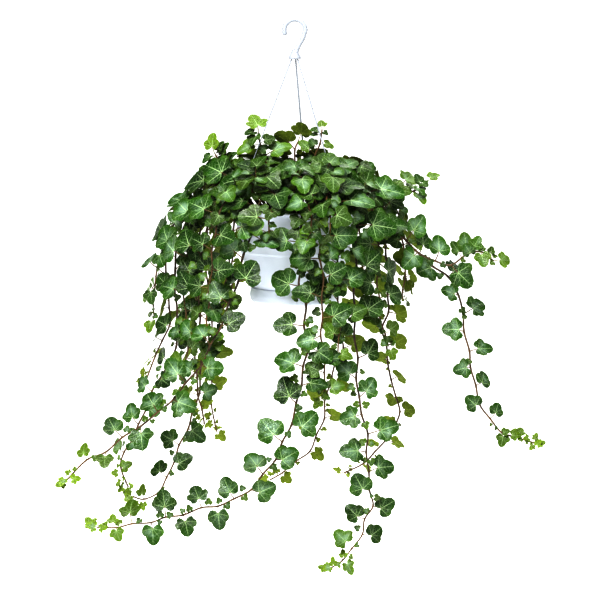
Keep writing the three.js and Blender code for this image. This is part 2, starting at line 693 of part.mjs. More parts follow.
// Room that a leaf stalk needs, from beside the stem to the blade, or its plain body for a clearance of 0
function stalkBody(leaf, clearance) {
  const end = bladePoint(leaf, 0, 0, 0);
  const stalk = end.clone().sub(leaf.point);
  const skipped = clearance > 0 ? STALK_SKIP * STEM_RADIUS_ROOT : 0;
  const start = leaf.point.clone().addScaledVector(stalk, skipped / stalk.length());
  return lofted(tubeRings([start, end], [STALK_RADIUS + clearance, STALK_RADIUS + clearance], 3));
}

// Mesh of one stem with its leaves, closed all over: each stalk grows out of a facet of the stem and ends in
// the notch of its blade
class Foliage {
  constructor() {
    this.positions = [];
    this.triangles = [];
  }

  point(position) {
    this.positions.push(...position.toArray());
    return this.positions.length / 3 - 1;
  }

  at(index) {
    return vec(...this.positions.slice(3 * index, 3 * index + 3));
  }

  face(...corners) {
    for (let i = 1; i + 1 < corners.length; i += 1) {
      this.triangles.push(corners[0], corners[i], corners[i + 1]);
    }
  }

  // Stalk and blade in place of a facet with three corners
  addLeaf(leaf, facet) {
    const half = BLADE_THICKNESS / 2;
    const put = (across, along, lift) => this.point(bladePoint(leaf, across, along, lift));
    const slim = STALK_RADIUS / (leaf.size * leaf.width);
    const notchRight = put(slim, 0, half);
    const notchLeft = put(-slim, 0, half);
    const notchUnder = put(0, 0, -half);
    const upper = OUTLINE.map(([across, along]) => put(across, along, half));
    const under = OUTLINE.map(([across, along]) => put(across, along, -half));
    const tip = (OUTLINE.length - 1) / 2;
    for (let i = 0; i + 1 < OUTLINE.length; i += 1) {
      this.face(i < tip ? notchRight : notchLeft, upper[i], upper[i + 1]);
      this.face(notchUnder, under[i + 1], under[i]);
      this.face(under[i], under[i + 1], upper[i + 1], upper[i]);
    }
    this.face(notchRight, upper[tip], notchLeft);
    this.face(notchUnder, under[0], upper[0], notchRight);
    this.face(under.at(-1), notchUnder, notchLeft, upper.at(-1));
    this.join(facet, [notchRight, notchUnder, notchLeft]);
  }

  // Walls between two triangles that turn the same way round, with the least twist
  join(from, to) {
    const centred = (corners) => {
      const points = corners.map((corner) => this.at(corner));
      const centre = points.reduce((sum, p) => sum.add(p), vec(0, 0, 0)).divideScalar(3);
      return points.map((p) => p.sub(centre).normalize());
    };
    const start = centred(from);
    const end = centred(to);
    const match = (shift) => start.reduce((sum, p, i) => sum + p.dot(end[(i + shift) % 3]), 0);
    const shift = [0, 1, 2].reduce((best, s) => (match(s) > match(best) ? s : best), 0);
    for (let i = 0; i < 3; i += 1) {
      const j = (i + 1) % 3;
      this.face(from[i], from[j], to[(j + shift) % 3], to[(i + shift) % 3]);
    }
  }
}

// Stem with the leaves that found room, keyed by their node
function makeFoliage(stem, leaves) {
  const mesh = new Foliage();
  const places = stem.path();
  const rings = stem.rings().map((ring) => ring.map((p) => mesh.point(p)));
  mesh.face(...rings[0].slice().reverse());
  for (let r = 0; r + 1 < rings.length; r += 1) {
    const low = rings[r];
    const high = rings[r + 1];
    const leaf = leaves.get(places[r].node);
    const sprout = leaf ? facetTowards(mesh, low, high, leaf) : -1;
    const foot = leaf ? mesh.point(mesh.at(low[sprout]).lerp(mesh.at(high[sprout]),
      FACET_LENGTH / mesh.at(low[sprout]).distanceTo(mesh.at(high[sprout])))) : -1;
    for (let k = 0; k < STEM_SIDES; k += 1) {
      const next = (k + 1) % STEM_SIDES;
      if (k === sprout) {
        mesh.face(foot, low[next], high[next], high[k]);
        mesh.addLeaf(leaf, [low[k], low[next], foot]);
      } else if (next === sprout) {
        mesh.face(low[k], low[next], foot, high[next], high[k]);
      } else {
        mesh.face(low[k], low[next], high[next], high[k]);
      }
    }
  }
  const last = leaves.get(stem.nodes.length - 1);
  if (last) {
    mesh.addLeaf(last, rings.at(-1));
  } else {
    mesh.face(...rings.at(-1));
  }
  return solid(mesh.positions, mesh.triangles);
}

// Side of the stem, between two rings, that looks most nearly along a leaf's stalk
function facetTowards(mesh, low, high, leaf) {
  const stalk = leaf.notch.clone().sub(leaf.point);
  const facing = low.map((corner, k) => {
    const edge = mesh.at(low[(k + 1) % STEM_SIDES]).sub(mesh.at(corner));
    const along = mesh.at(high[k]).sub(mesh.at(corner));
    return edge.cross(along).normalize().dot(stalk);
  });
  return facing.indexOf(Math.max(...facing));
}

// What stands in the way of a new leaf: solids with their boxes
class Obstacles {
  constructor() {
    this.items = [];
  }

  add(body, owner) {
    this.items.push({ body, owner, box: body.boundingBox() });
  }

  // Whether a body meets none of the solids, apart from its owner's own
  clear(body, owner) {
    const { min, max } = body.boundingBox();
    return this.items.every((item) => {
      const apart = [0, 1, 2].some((k) => item.box.min[k] > max[k] || item.box.max[k] < min[k]);
      if (apart || (owner && item.owner === owner)) {
        return true;
      }
      const common = body.intersect(item.body);
      const empty = common.isEmpty();
      common.delete();
      return empty;
    });
  }
}

// First try at a leaf that clears everything, or null
function placeLeaf(stem, index, obstacles) {
  for (let attempt = 0; attempt < TRIES; attempt += 1) {
    const leaf = stem.leafAt(index, attempt);
    if (leaf.reach < STALK_REACH) {
      continue;
    }
    const room = bladeRoom(leaf);
    const stalkRoom = stalkBody(leaf, LEAF_CLEARANCE);
    const fits = obstacles.clear(room, null) && obstacles.clear(stalkRoom, stem.name);
    room.delete();
    stalkRoom.delete();
    if (fits) {
      return leaf;
    }
  }
  return null;
}

const hardware = [
  ['pot', makePot(), FINISHES.pot],
  ['saucer', makeSaucer(), FINISHES.pot],
  ['soil', makeSoil(), FINISHES.soil],
  ['hanger_hook', makeHook(), FINISHES.hanger],
  ...STRAND_AZIMUTHS.map((azimuth, i) => [`hanger_strand_${i + 1}`, makeStrand(azimuth), FINISHES.hanger]),
];

const obstacles = new Obstacles();
hardware.forEach(([name, body]) => obstacles.add(body, name));
const stems = STEMS.map((data, number) => new Stem(data, number));
stems.forEach((stem) => obstacles.add(stem.makeTube(), stem.name));

// Leaves are placed node by node over all the stems, so that no stem takes the room of another
const leaves = stems.map(() => new Map());
const longest = Math.max(...stems.map((stem) => stem.nodes.length));
for (let index = 0; index < longest; index += 1) {
  stems.forEach((stem, i) => {
    const leaf = index < stem.nodes.length ? placeLeaf(stem, index, obstacles) : null;
    if (leaf) {
      obstacles.add(bladeRoom(leaf), null);
      obstacles.add(stalkBody(leaf, 0), null);
      leaves[i].set(index, leaf);
    }
  });
}

const ivy = new THREE.Group();
ivy.name = 'potted_english_ivy';
hardware.forEach(([name, body, material]) => ivy.add(meshOf(name, body, material)));
stems.forEach((stem, i) => {
  const material = stem.isSprig ? FINISHES.ivy : FINISHES.trailing;
  ivy.add(meshOf(stem.name, makeFoliage(stem, leaves[i]), material));
});

export default ivy;
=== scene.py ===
"""Potted english ivy in a white plastic hanging pot.

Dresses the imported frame: fine lobed leaves on curved stalks, round stems, a moulded pot with its saucer,
soil, and the hook with its three strands. Plans are in millimetres in the frame's axes, +Z up and -Y to the
front, and become metres where a mesh is made.
"""

import logging
import math
from collections.abc import Iterable, Sequence
from dataclasses import dataclass
from enum import Enum

import bmesh
import bpy
from bmesh.types import BMEdge, BMesh, BMFace, BMVert
from bpy.types import ID, Material, Mesh, Node, NodeSocket, Object
from mathutils import Matrix, Vector, kdtree, noise
from mathutils.bvhtree import BVHTree


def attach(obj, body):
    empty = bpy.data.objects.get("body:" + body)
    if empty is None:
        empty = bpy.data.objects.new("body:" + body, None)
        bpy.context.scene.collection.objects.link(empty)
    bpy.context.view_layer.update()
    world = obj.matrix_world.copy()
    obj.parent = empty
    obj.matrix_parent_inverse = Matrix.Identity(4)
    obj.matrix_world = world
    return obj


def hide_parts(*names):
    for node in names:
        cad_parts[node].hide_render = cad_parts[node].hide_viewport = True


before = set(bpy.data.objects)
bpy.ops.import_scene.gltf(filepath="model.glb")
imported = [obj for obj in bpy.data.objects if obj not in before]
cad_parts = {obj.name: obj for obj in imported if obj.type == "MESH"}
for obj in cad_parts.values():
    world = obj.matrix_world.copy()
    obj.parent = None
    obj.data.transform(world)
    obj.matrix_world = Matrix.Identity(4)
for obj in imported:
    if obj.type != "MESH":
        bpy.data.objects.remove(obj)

LOG = logging.getLogger("potted_ivy")
MM = 0.001
UP = Vector((0.0, 0.0, 1.0))

SOIL_TOP = -286.0
ROOT_TOP = SOIL_TOP + 4.0
ROOT_FOOT = SOIL_TOP - 23.7

STEM_RADIUS_ROOT = 1.7
STEM_RADIUS_TIP = 1.1
STEM_ZIGZAG = 1.6
RING_SPACING = 9.0
BENDS = 3
CURVE_STEPS = 16
TANGENT_REACH = 4.0

FIRST_LEAF = (26.0, 34.0)
SPACING_SPREAD = (0.88, 1.12)
SPACING_TAPER = 0.3
LAST_SPACE = 0.4
CROWN_REACH = 60.0
CROWN_FADE = 110.0
TILT_HANGING = 24.0
TILT_CROWN = 22.0
TRIES = 12
TRY_SHRINK = 0.02
TRY_LOOSEN = 0.22

SIZE_SPREAD = (0.92, 1.2)
STALK_SIDE = (0.6, 0.9)
STALK_LIGHT = (0.2, 0.5)
STALK_UP = (0.1, 0.5)
STALK_ALONG = (-0.1, 0.35)
STALK_LENGTH = (0.42, 0.62)
TURN_SIDE = (-0.15, 0.4)
TURN_ALONG = (-0.3, 0.3)
TURN_UP = (-0.15, 0.2)
TIP_LEAN = (-0.2, 1.0)
CROWN_LEAN = 0.8
WIDTH_SPREAD = (0.9, 1.08)
LONG_STEM = 400.0
FRESH_REACH = 90.0
SIDE_ACROSS = (-0.9, 0.9)
SIDE_LIGHT = (0.3, 1.0)
SIDE_UP = (0.0, 0.4)
SIDE_ALONG = (-0.4, 0.8)
SIDE_STALK_LENGTH = (0.5, 0.8)
SIDE_TURN = (-0.5, 0.5)
SIDE_LIFT = (-0.2, 0.4)
SIDE_DROOP = (-0.5, 0.6)
SIDE_LEAN = (-0.6, 0.6)
SIDE_SMALL = 0.4
SIDE_OLD = (0.0, 0.15)
SIDE_FRESH = (0.05, 0.4)
SIDE_TRIES = 6
SIDE_SHRINK = 0.05
LOST_SIZE = 0.75
MID_PLACE = (0.3, 0.7)
MID_SIZE_HANGING = 0.38
MID_SIZE_CROWN = (0.5, 0.8)
FILL_PLACE = (0.1, 0.9)
FILL_SIZE_HANGING = 0.3
FILL_SIZE_CROWN = (0.45, 0.7)
FILL_CROWN = 3
FULL_CROWN = 0.3
SHOOT_SIZE = (0.35, 0.6)
FULL_SIZE = (0.6, 0.9)
SHOOT_REACHES = (1.0, 4.0, 9.0, 14.0, 22.0)
PALE_SPRIGS = ("sprig_top_left", "sprig_top_centre_left", "sprig_top_centre", "sprig_right_upper")
FULL_ENDS = (
    "vine_right_upper", "vine_right_arching", "vine_right_back_short", "sprig_right_upper", "sprig_top_left",
)
FULL_REACHES = (6.0, 12.0, 18.0, 24.0, 30.0, 38.0, 46.0, 56.0)
LAST_STALK_SIDE = 0.25
LAST_STALK_ALONG = 0.8
VINE_YOUNG = (0.62, 0.8, 0.92)
SPRIG_YOUNG = (0.8, 0.9)

BLADE_THICKNESS = 0.8
BLADE_FOLD = 0.13
BLADE_DROOP = 0.1
PLAIN_OUTLINE = (
    (0.35, -0.23), (0.61, 0.14), (0.39, 0.5), (0.0, 0.95), (-0.39, 0.5), (-0.61, 0.14), (-0.35, -0.23),
)
MATCH_REACH = 0.02
MATCH_CORNERS = 3


class Habit(Enum):
    """How a stem grows: over the rim and down, or short and upright in the crown."""

    VINE = "vine"
    SPRIG = "sprig"


@dataclass(frozen=True)
class StemPlan:
    """Where one stem stands and goes, and what leaves it carries. Lengths are in millimetres.

    Attributes:
        name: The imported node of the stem.
        root: Place in the soil.
        facing: Azimuth that its leaves look to, in degrees from the front towards the right.
        blade: Blade lengths at its start and at its end.
        spacing: Distance between leaves.
        side: Side of its first leaf, 1 or -1.
        route: Places that the stem passes, from the soil to its tip.
    """

    name: str
    root: tuple[float, float]
    facing: float
    blade: tuple[float, float]
    spacing: float
    side: int
    route: list[tuple[float, float, float]]

    @property
    def habit(self) -> Habit:
        """Habit that the name starts with."""
        return Habit(self.name.split("_")[0])


STEM_TABLE = """
vine_front_long -6,-52 0 35,25 34 -1
    4,-80,-250 8,-106,-262 8,-118,-320 8,-116,-384 18,-116,-412 14,-118,-440 18,-118,-462 8,-120,-520
    -2,-124,-564 -32,-132,-630 -78,-140,-678 -138,-144,-696 -186,-148,-708 -240,-150,-718 -284,-152,-720
vine_front_left_long -26,-46 -12 36,22 38 1
    -34,-78,-240 -50,-106,-258 -60,-118,-292 -76,-120,-346 -88,-118,-388 -110,-122,-440 -140,-126,-496
    -192,-130,-554 -226,-132,-578 -272,-136,-612 -308,-138,-632 -328,-140,-654
vine_left_inner -38,-36 -20 38,28 32 -1
    -54,-66,-236 -78,-96,-258 -90,-112,-302 -96,-108,-358 -104,-104,-410 -110,-100,-450
vine_left_front -46,-26 -30 38,26 32 1
    -72,-52,-232 -98,-90,-252 -114,-106,-300 -120,-108,-360 -126,-104,-426 -124,-100,-472
vine_left_hooked -54,-16 -25 36,20 34 -1
    -84,-38,-232 -110,-68,-256 -130,-82,-306 -138,-84,-386 -138,-84,-458 -138,-84,-524 -156,-84,-586
    -174,-82,-628 -190,-80,-670 -206,-78,-690 -224,-78,-700 -240,-78,-694
vine_left_mid -60,-4 -40 38,26 33 1
    -92,-14,-232 -126,-38,-256 -150,-52,-308 -162,-56,-390 -158,-56,-464 -164,-54,-528
vine_left_lower -62,8 -40 36,20 35 -1
    -98,2,-230 -134,-8,-254 -164,-18,-298 -178,-24,-356 -176,-26,-424 -180,-26,-488 -208,-24,-536
    -236,-22,-602 -256,-22,-640 -264,-22,-668 -252,-22,-694
vine_left_outer -60,20 -60 36,26 33 1
    -102,22,-226 -144,22,-250 -180,14,-296 -202,8,-350 -212,6,-400 -212,6,-440
vine_far_left -50,32 -105 34,26 34 -1
    -92,44,-226 -134,54,-250 -168,56,-294 -196,54,-342 -194,50,-412 -192,48,-456 -212,44,-498 -228,42,-540
vine_back_left_long -40,44 -150 36,22 36 1
    -82,66,-220 -112,94,-242 -134,108,-302 -138,110,-396 -130,108,-490 -132,104,-576 -124,100,-636
vine_back_left -24,54 -165 36,26 34 -1
    -56,84,-218 -80,112,-240 -94,126,-294 -98,128,-366 -102,124,-424
vine_back_centre -4,58 180 36,26 33 1
    -16,88,-220 -24,118,-244 -30,130,-304 -26,128,-372
vine_back_long 18,56 170 34,20 35 -1
    36,84,-220 42,114,-244 50,124,-310 60,122,-396 70,118,-474 74,114,-506 62,112,-536 50,110,-574
    44,108,-618 22,106,-668 -10,104,-694 -40,100,-714
vine_back_right 34,48 150 36,26 33 1
    64,72,-228 86,100,-250 100,110,-310 108,112,-388 118,108,-452
vine_right_zigzag 48,36 140 32,18 34 -1
    80,54,-230 112,74,-254 132,82,-302 142,82,-364 144,80,-436 136,80,-466 144,80,-512 150,80,-558
    162,80,-586 158,80,-620 140,78,-644 118,76,-672 76,72,-696
vine_right_back_short 58,24 110 34,24 33 1
    90,36,-226 126,48,-248 154,54,-296 168,54,-360 164,54,-418
vine_right_arching 62,8 25 34,18 34 -1
    92,14,-228 126,20,-246 154,22,-284 170,20,-330 198,18,-354 232,16,-382 246,14,-400 254,10,-448
    262,8,-490 272,6,-542 282,4,-574 304,2,-606 330,0,-622 366,0,-632
vine_right_upper 58,-8 15 30,28 32 1
    86,-14,-234 118,-30,-258 144,-38,-300 178,-40,-332 212,-42,-352 238,-42,-350 268,-42,-332 292,-44,-348
vine_right_mid 54,-20 30 38,28 32 -1
    84,-34,-238 108,-62,-258 122,-76,-312 120,-78,-372 126,-78,-434 136,-78,-468
vine_right_long 46,-32 12 38,22 34 1
    70,-52,-240 86,-86,-260 88,-102,-318 86,-102,-384 86,-100,-430 90,-98,-488 92,-98,-540 104,-98,-588
    106,-98,-638 108,-98,-668 114,-98,-698 102,-98,-728 94,-98,-756 76,-98,-778 52,-98,-798
vine_right_front 30,-44 8 40,30 33 -1
    44,-74,-242 56,-104,-260 62,-118,-318 62,-118,-382 66,-116,-432 62,-114,-470
vine_front_right 14,-52 4 38,26 33 1
    26,-82,-246 32,-110,-262 36,-124,-320 40,-124,-380 38,-122,-438 44,-118,-498 40,-116,-536
vine_left_back_long -44,20 -125 34,24 35 1
    -88,32,-228 -126,46,-262 -146,54,-320 -152,54,-410 -154,54,-490 -150,50,-560 -140,46,-612
vine_short_front_left -14,-38 -6 34,32 27 1
    -22,-68,-248 -28,-98,-248 -34,-122,-268 -36,-130,-300
vine_short_front 4,-38 0 34,32 27 -1
    14,-68,-242 18,-98,-246 22,-124,-268 22,-134,-300
vine_short_front_right 22,-34 10 34,32 27 1
    36,-66,-234 44,-98,-240 48,-126,-264 50,-136,-294
sprig_top_left -44,8 -40 30,28 24 1
    -72,10,-244 -98,6,-222 -118,-4,-194
sprig_top_centre_left -22,10 -20 32,30 22 -1
    -32,6,-244 -42,0,-206 -54,-2,-164
sprig_top_centre 8,6 10 30,18 22 1
    16,6,-240 30,2,-200 40,0,-158
sprig_top_back 0,26 180 34,30 26 -1
    -4,32,-240 -2,36,-206 4,38,-178
sprig_right_upper 44,14 20 28,24 24 1
    84,21,-244 120,32,-254 148,34,-246 178,30,-250 198,28,-238
sprig_upper_right 28,-2 20 34,26 27 -1
    48,-6,-240 72,-10,-226 90,-12,-222
sprig_front_left -18,-24 -10 36,30 28 1
    -34,-48,-234 -50,-80,-220 -60,-104,-226
sprig_front -2,-22 0 36,30 28 -1
    -2,-44,-232 2,-76,-214 6,-104,-222
sprig_front_right 14,-22 12 36,30 28 1
    26,-46,-228 40,-76,-212 52,-102,-220
sprig_left -34,-4 -60 36,28 28 -1
    -58,0,-230 -86,-6,-218 -112,-14,-222
sprig_left_back -26,30 -120 36,26 28 1
    -50,44,-228 -78,54,-218 -100,60,-224
sprig_back -6,40 175 36,26 28 -1
    -14,64,-226 -20,92,-216 -24,114,-226
sprig_right_back 24,34 130 36,26 28 1
    46,52,-236 72,64,-230 96,70,-238
sprig_right 36,4 60 36,28 28 -1
    58,4,-236 84,-2,-228 110,-12,-236
"""


def read_stems(table: str) -> list[StemPlan]:
    """Reads the stems from their table.

    Args:
        table: For each stem one line with its name and the other fields of StemPlan, then its route.

    Returns:
        The stems.
    """
    plans = []
    for row in table.strip().split("\n"):
        words = row.split()
        name = "" if row[0].isspace() else words.pop(0)
        parts = [tuple(float(value) for value in word.split(",")) for word in words]
        if name:
            root, (facing,), blade, (spacing,), (side,) = parts
            plans.append(StemPlan(name, root, facing, blade, spacing, side, []))
        else:
            plans[-1].route.extend(parts)
    return plans


STEMS = read_stems(STEM_TABLE)


class Draws:
    """Repeatable draws between 0 and 1."""

    def __init__(self, seed: int) -> None:
        """Starts the row of draws from a whole number."""
        self.state = seed
        self.next()
        self.next()

    def next(self) -> float:
        """Next draw, from 0 up to 1."""
        self.state = (self.state * 1664525 + 1013904223) % 4294967296
        return self.state / 4294967296

    def between(self, low: float, high: float) -> float:
        """Next draw, spread from low to high."""
        return low + (high - low) * self.next()


def mix(low: float, high: float, share: float) -> float:
    """Value that lies at a share of the way from low to high."""
    return low + (high - low) * share


def clamp(value: float, low: float = 0.0, high: float = 1.0) -> float:
    """Value held between low and high."""
    return max(low, min(high, value))


def around(radius: float, azimuth: float, height: float) -> Vector:
    """Point at a distance from the upright axis.

    Args:
        radius: Distance from the axis.
        azimuth: Degrees from the front towards the right.
        height: Height of the point.

    Returns:
        The point.
    """
    turn = math.radians(azimuth)
    return Vector((radius * math.sin(turn), -radius * math.cos(turn), height))


def smooth_course(controls: Sequence[Vector], steps: int) -> list[Vector]:
    """Catmull-Rom curve through points.

    Args:
        controls: Points that the curve passes.
        steps: Samples for each stretch between two points.

    Returns:
        The samples, both ends included.
    """
    ahead = controls[-1] * 2 - controls[-2]
    padded = [controls[0] * 2 - controls[1], *controls, ahead]
    samples = []
    for before, start, end, after in zip(padded, padded[1:], padded[2:], padded[3:]):
        leave = (end - before) * 0.5
        arrive = (after - start) * 0.5
        for step in range(steps):
            t = step / steps
            bend = (end - start) * 3 - leave * 2 - arrive
            turn = (start - end) * 2 + leave + arrive
            samples.append(start + leave * t + bend * t * t + turn * t * t * t)
    samples.append(controls[-1].copy())
    return samples


@dataclass(frozen=True)
class Leaf:
    """Place and shape of one leaf, in millimetres.

    Attributes:
        point: Where its stalk leaves the stem.
        notch: Where its stalk meets the blade.
        size: Length of a blade of one unit.
        width: Share by which it is wider or narrower than usual.
        right: Direction across the blade.
        tip: Direction from the notch to the tip.
        normal: Direction that the upper face looks to.
        reach: Cosine between stalk and tip.
        youth: 0 for a full-grown leaf, 1 for one that has just opened.
        seed: Number that its ripples and tint are drawn from.
    """

    point: Vector
    notch: Vector
    size: float
    width: float
    right: Vector
    tip: Vector
    normal: Vector
    reach: float
    youth: float
    seed: int

    def at(self, across: float, along: float, lift: float = 0.0) -> Vector:
        """Point of the plain blade.

        Args:
            across: Units to the right of the midrib.
            along: Units from the notch towards the tip.
            lift: Height over the middle of the blade, in millimetres.

        Returns:
            The point.
        """
        height = self.size * (BLADE_FOLD * abs(across) - BLADE_DROOP * along * along) + lift
        flat = self.right * (self.size * self.width * across) + self.tip * (self.size * along)
        return self.notch + flat + self.normal * height


class StemLine:
    """Course of one stem and the rule of its leaves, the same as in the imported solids."""

    def __init__(self, plan: StemPlan, number: int) -> None:
        """Works out the course.

        Args:
            plan: The stem.
            number: Its place in the list of stems, which seeds its draws.
        """
        self.plan = plan
        self.number = number
        self.start = Vector((*plan.root, ROOT_TOP))
        controls = [self.start, *(Vector(place) for place in plan.route)]
        self.samples = smooth_course(controls, CURVE_STEPS)
        self.lengths = [0.0]
        for before, after in zip(self.samples, self.samples[1:]):
            self.lengths.append(self.lengths[-1] + (after - before).length)
        self.total = self.lengths[-1]
        self.nodes = self.leaf_distances()

    def leaf_distances(self) -> list[float]:
        """Distances of the leaf nodes along the course, closer together towards the tip."""
        draws = Draws(self.number * 1009 + 17)
        distances = []
        distance = draws.between(*FIRST_LEAF)
        while distance < self.total - LAST_SPACE * self.plan.spacing:
            distances.append(distance)
            taper = 1 - SPACING_TAPER * (distance / self.total)
            distance += self.plan.spacing * taper * draws.between(*SPACING_SPREAD)
        distances.append(self.total)
        return distances

    def point_at(self, distance: float) -> Vector:
        """Point of the course at a distance from the soil."""
        i = 1
        while i < len(self.lengths) - 1 and self.lengths[i] < distance:
            i += 1
        share = (distance - self.lengths[i - 1]) / (self.lengths[i] - self.lengths[i - 1])
        return self.samples[i - 1].lerp(self.samples[i], share)

    def tangent_at(self, distance: float) -> Vector:
        """Direction of the course at a distance from the soil."""
        ahead = self.point_at(min(distance + TANGENT_REACH, self.total))
        return (ahead - self.point_at(max(distance - TANGENT_REACH, 0))).normalized()

    def crown_at(self, distance: float) -> float:
        """Share of crown habit: 1 by the soil and on sprigs, 0 where the stem hangs."""
        if self.plan.habit is Habit.SPRIG:
            return 1.0
        return 1 - clamp((distance - CROWN_REACH) / CROWN_FADE)

    def axes_at(self, distance: float, hand: int) -> tuple[Vector, Vector, Vector, float]:
        """Directions by which a leaf turns.

        Args:
            distance: Distance from the soil.
            hand: 1 for the side of the first leaf, -1 for the other.

        Returns:
            Directions along the stem, to the light and to the leaf's side, and the crown share.
        """
        along = self.tangent_at(distance)
        crown = self.crown_at(distance)
        tilt = math.radians(TILT_HANGING + TILT_CROWN * crown)
        light = around(math.cos(tilt), self.plan.facing, math.sin(tilt))
        side = along.cross(light).normalized() * (self.plan.side * hand)
        return along, light, side, crown

    def node_point(self, index: int) -> Vector:
        """Place of a leaf node on the zigzag stem."""
        distance = self.nodes[index]
        _, _, side, _ = self.axes_at(distance, 1 if index % 2 == 0 else -1)
        zigzag = 0.0 if index == len(self.nodes) - 1 else STEM_ZIGZAG
        return self.point_at(distance) + side * zigzag

    def places(self) -> list[Vector]:
        """Places that the stem passes: its foot, the soil, the first bends and every leaf node."""
        rings = [(distance, self.node_point(node)) for node, distance in enumerate(self.nodes)]
        for bend in range(1, BENDS + 1):
            distance = self.lengths[bend * CURVE_STEPS]
            if all(abs(ring[0] - distance) > RING_SPACING for ring in rings):
                rings.append((distance, self.point_at(distance)))
        foot = Vector((self.start.x, self.start.y, ROOT_FOOT))
        rings += [(-1.0, foot), (0.0, self.start)]
        return [point for _, point in sorted(rings, key=lambda ring: ring[0])]

    def leaf_at(self, index: int, attempt: int) -> Leaf:
        """Leaf of a node; each further attempt turns it more freely."""
        distance = self.nodes[index]
        along, light, side, crown = self.axes_at(distance, 1 if index % 2 == 0 else -1)
        seed = (self.number * 100 + index) * 32 + attempt
        draws = Draws(seed)
        from_tip = len(self.nodes) - 1 - index
        last = from_tip == 0
        young = SPRIG_YOUNG if self.plan.habit is Habit.SPRIG else VINE_YOUNG
        opened = young[from_tip] if from_tip < len(young) else 1
        size = mix(*self.plan.blade, distance / self.total) * opened
        size *= draws.between(*SIZE_SPREAD) * (1 - TRY_SHRINK * attempt)
        loose = 1 + TRY_LOOSEN * attempt
        stalk = side * (LAST_STALK_SIDE if last else draws.between(*STALK_SIDE))
        stalk += light * draws.between(*STALK_LIGHT)
        stalk += UP * (draws.between(*STALK_UP) * (1 - crown))
        stalk += along * (draws.between(*STALK_ALONG) * loose + (LAST_STALK_ALONG if last else 0))
        stalk.normalize()
        point = self.node_point(index)
        notch = point + stalk * (size * draws.between(*STALK_LENGTH))
        normal = light + side * (draws.between(*TURN_SIDE) * loose)
        normal += along * (draws.between(*TURN_ALONG) * loose)
        normal += UP * (draws.between(*TURN_UP) * loose)
        normal.normalize()
        lean = draws.between(*TIP_LEAN)
        tip = stalk + UP * (lean * (1 - crown)) + along * (CROWN_LEAN * lean * crown)
        tip = (tip - normal * tip.dot(normal)).normalized()
        width = draws.between(*WIDTH_SPREAD)
        if self.plan.habit is Habit.VINE:
            youth = clamp(0.75 - from_tip / 4) * clamp(self.total / LONG_STEM - 0.2)
        else:
            youth = clamp((0.5 if self.plan.name in PALE_SPRIGS else 0.15) - 0.1 * from_tip)
        return Leaf(point, notch, size, width, tip.cross(normal), tip, normal, stalk.dot(tip), youth, seed)

    def side_leaf(self, distance: float, hand: int, scale: float, seed: int) -> Leaf:
        """Small leaf that sprouts beside the main ones.

        Args:
            distance: Distance from the soil.
            hand: Side of the stem, 1 or -1.
            scale: Size beside that of a main leaf there.
            seed: Number that its draws start from.

        Returns:
            The leaf.
        """
        along, light, side, crown = self.axes_at(distance, hand)
        draws = Draws(seed)
        size = mix(*self.plan.blade, distance / self.total) * scale
        point = self.point_at(distance)
        stalk = side * draws.between(*SIDE_ACROSS) + light * draws.between(*SIDE_LIGHT)
        stalk += UP * draws.between(*SIDE_UP)
        stalk = (stalk + along * draws.between(*SIDE_ALONG)).normalized()
        notch = point + stalk * (size * draws.between(*SIDE_STALK_LENGTH))
        normal = light + side * draws.between(*SIDE_TURN) + along * draws.between(*SIDE_TURN)
        normal = (normal + UP * draws.between(*SIDE_LIFT) * crown).normalized()
        tip = stalk + UP * draws.between(*SIDE_DROOP) + side * draws.between(*SIDE_LEAN)
        tip = (tip - normal * tip.dot(normal)).normalized()
        width = draws.between(*WIDTH_SPREAD)
        youth = draws.between(*(SIDE_OLD if scale > SIDE_SMALL else SIDE_FRESH))
        if self.total > LONG_STEM:
            youth = max(youth, clamp(1 - (self.total - distance) / FRESH_REACH))
        return Leaf(point, notch, size, width, tip.cross(normal), tip, normal, stalk.dot(tip), youth, seed)


def packed_leaves(line: StemLine, node: Object) -> dict[int, Leaf]:
    """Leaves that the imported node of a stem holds, found by the corners of their plain blades.

    Args:
        line: The stem.
        node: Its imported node.

    Returns:
        The leaves, by the number of their leaf node.
    """
    corners = kdtree.KDTree(len(node.data.vertices))
    for i, vertex in enumerate(node.data.vertices):
        corners.insert(vertex.co / MM, i)
    corners.balance()
    found = {}
    for index in range(len(line.nodes)):
        for attempt in range(TRIES):
            leaf = line.leaf_at(index, attempt)
            half = BLADE_THICKNESS / 2
            spots = [leaf.at(x, y, lift) for lift in (half, -half) for x, y in PLAIN_OUTLINE]
            if sum(corners.find(spot)[2] < MATCH_REACH for spot in spots) >= MATCH_CORNERS:
                found[index] = leaf
                break
    return found


def frames_along(course: Sequence[Vector], radii: Sequence[float]) -> list[Matrix]:
    """Frames that carry a round section along a course without twisting it.

    Args:
        course: Points of the course, in millimetres.
        radii: Radius at each point, in millimetres.

    Returns:
        One matrix for each point, which takes a circle of radius one to its place, in metres.
    """
    frames = []
    across = None
    last = len(course) - 1
    for i, (point, radius) in enumerate(zip(course, radii)):
        along = (course[min(i + 1, last)] - course[max(i - 1, 0)]).normalized()
        across = along.orthogonal() if across is None else across
        across = (across - along * across.dot(along)).normalized()
        turn = Matrix((across, along.cross(across), along)).transposed().to_4x4()
        size = Matrix.Diagonal((radius * MM, radius * MM, 1.0, 1.0))
        frames.append(Matrix.Translation(point * MM) @ turn @ size)
    return frames


def picked(made: dict[str, list], kind: type) -> list:
    """Items of one kind from the result of a mesh operator."""
    return [item for item in made["geom"] if isinstance(item, kind)]


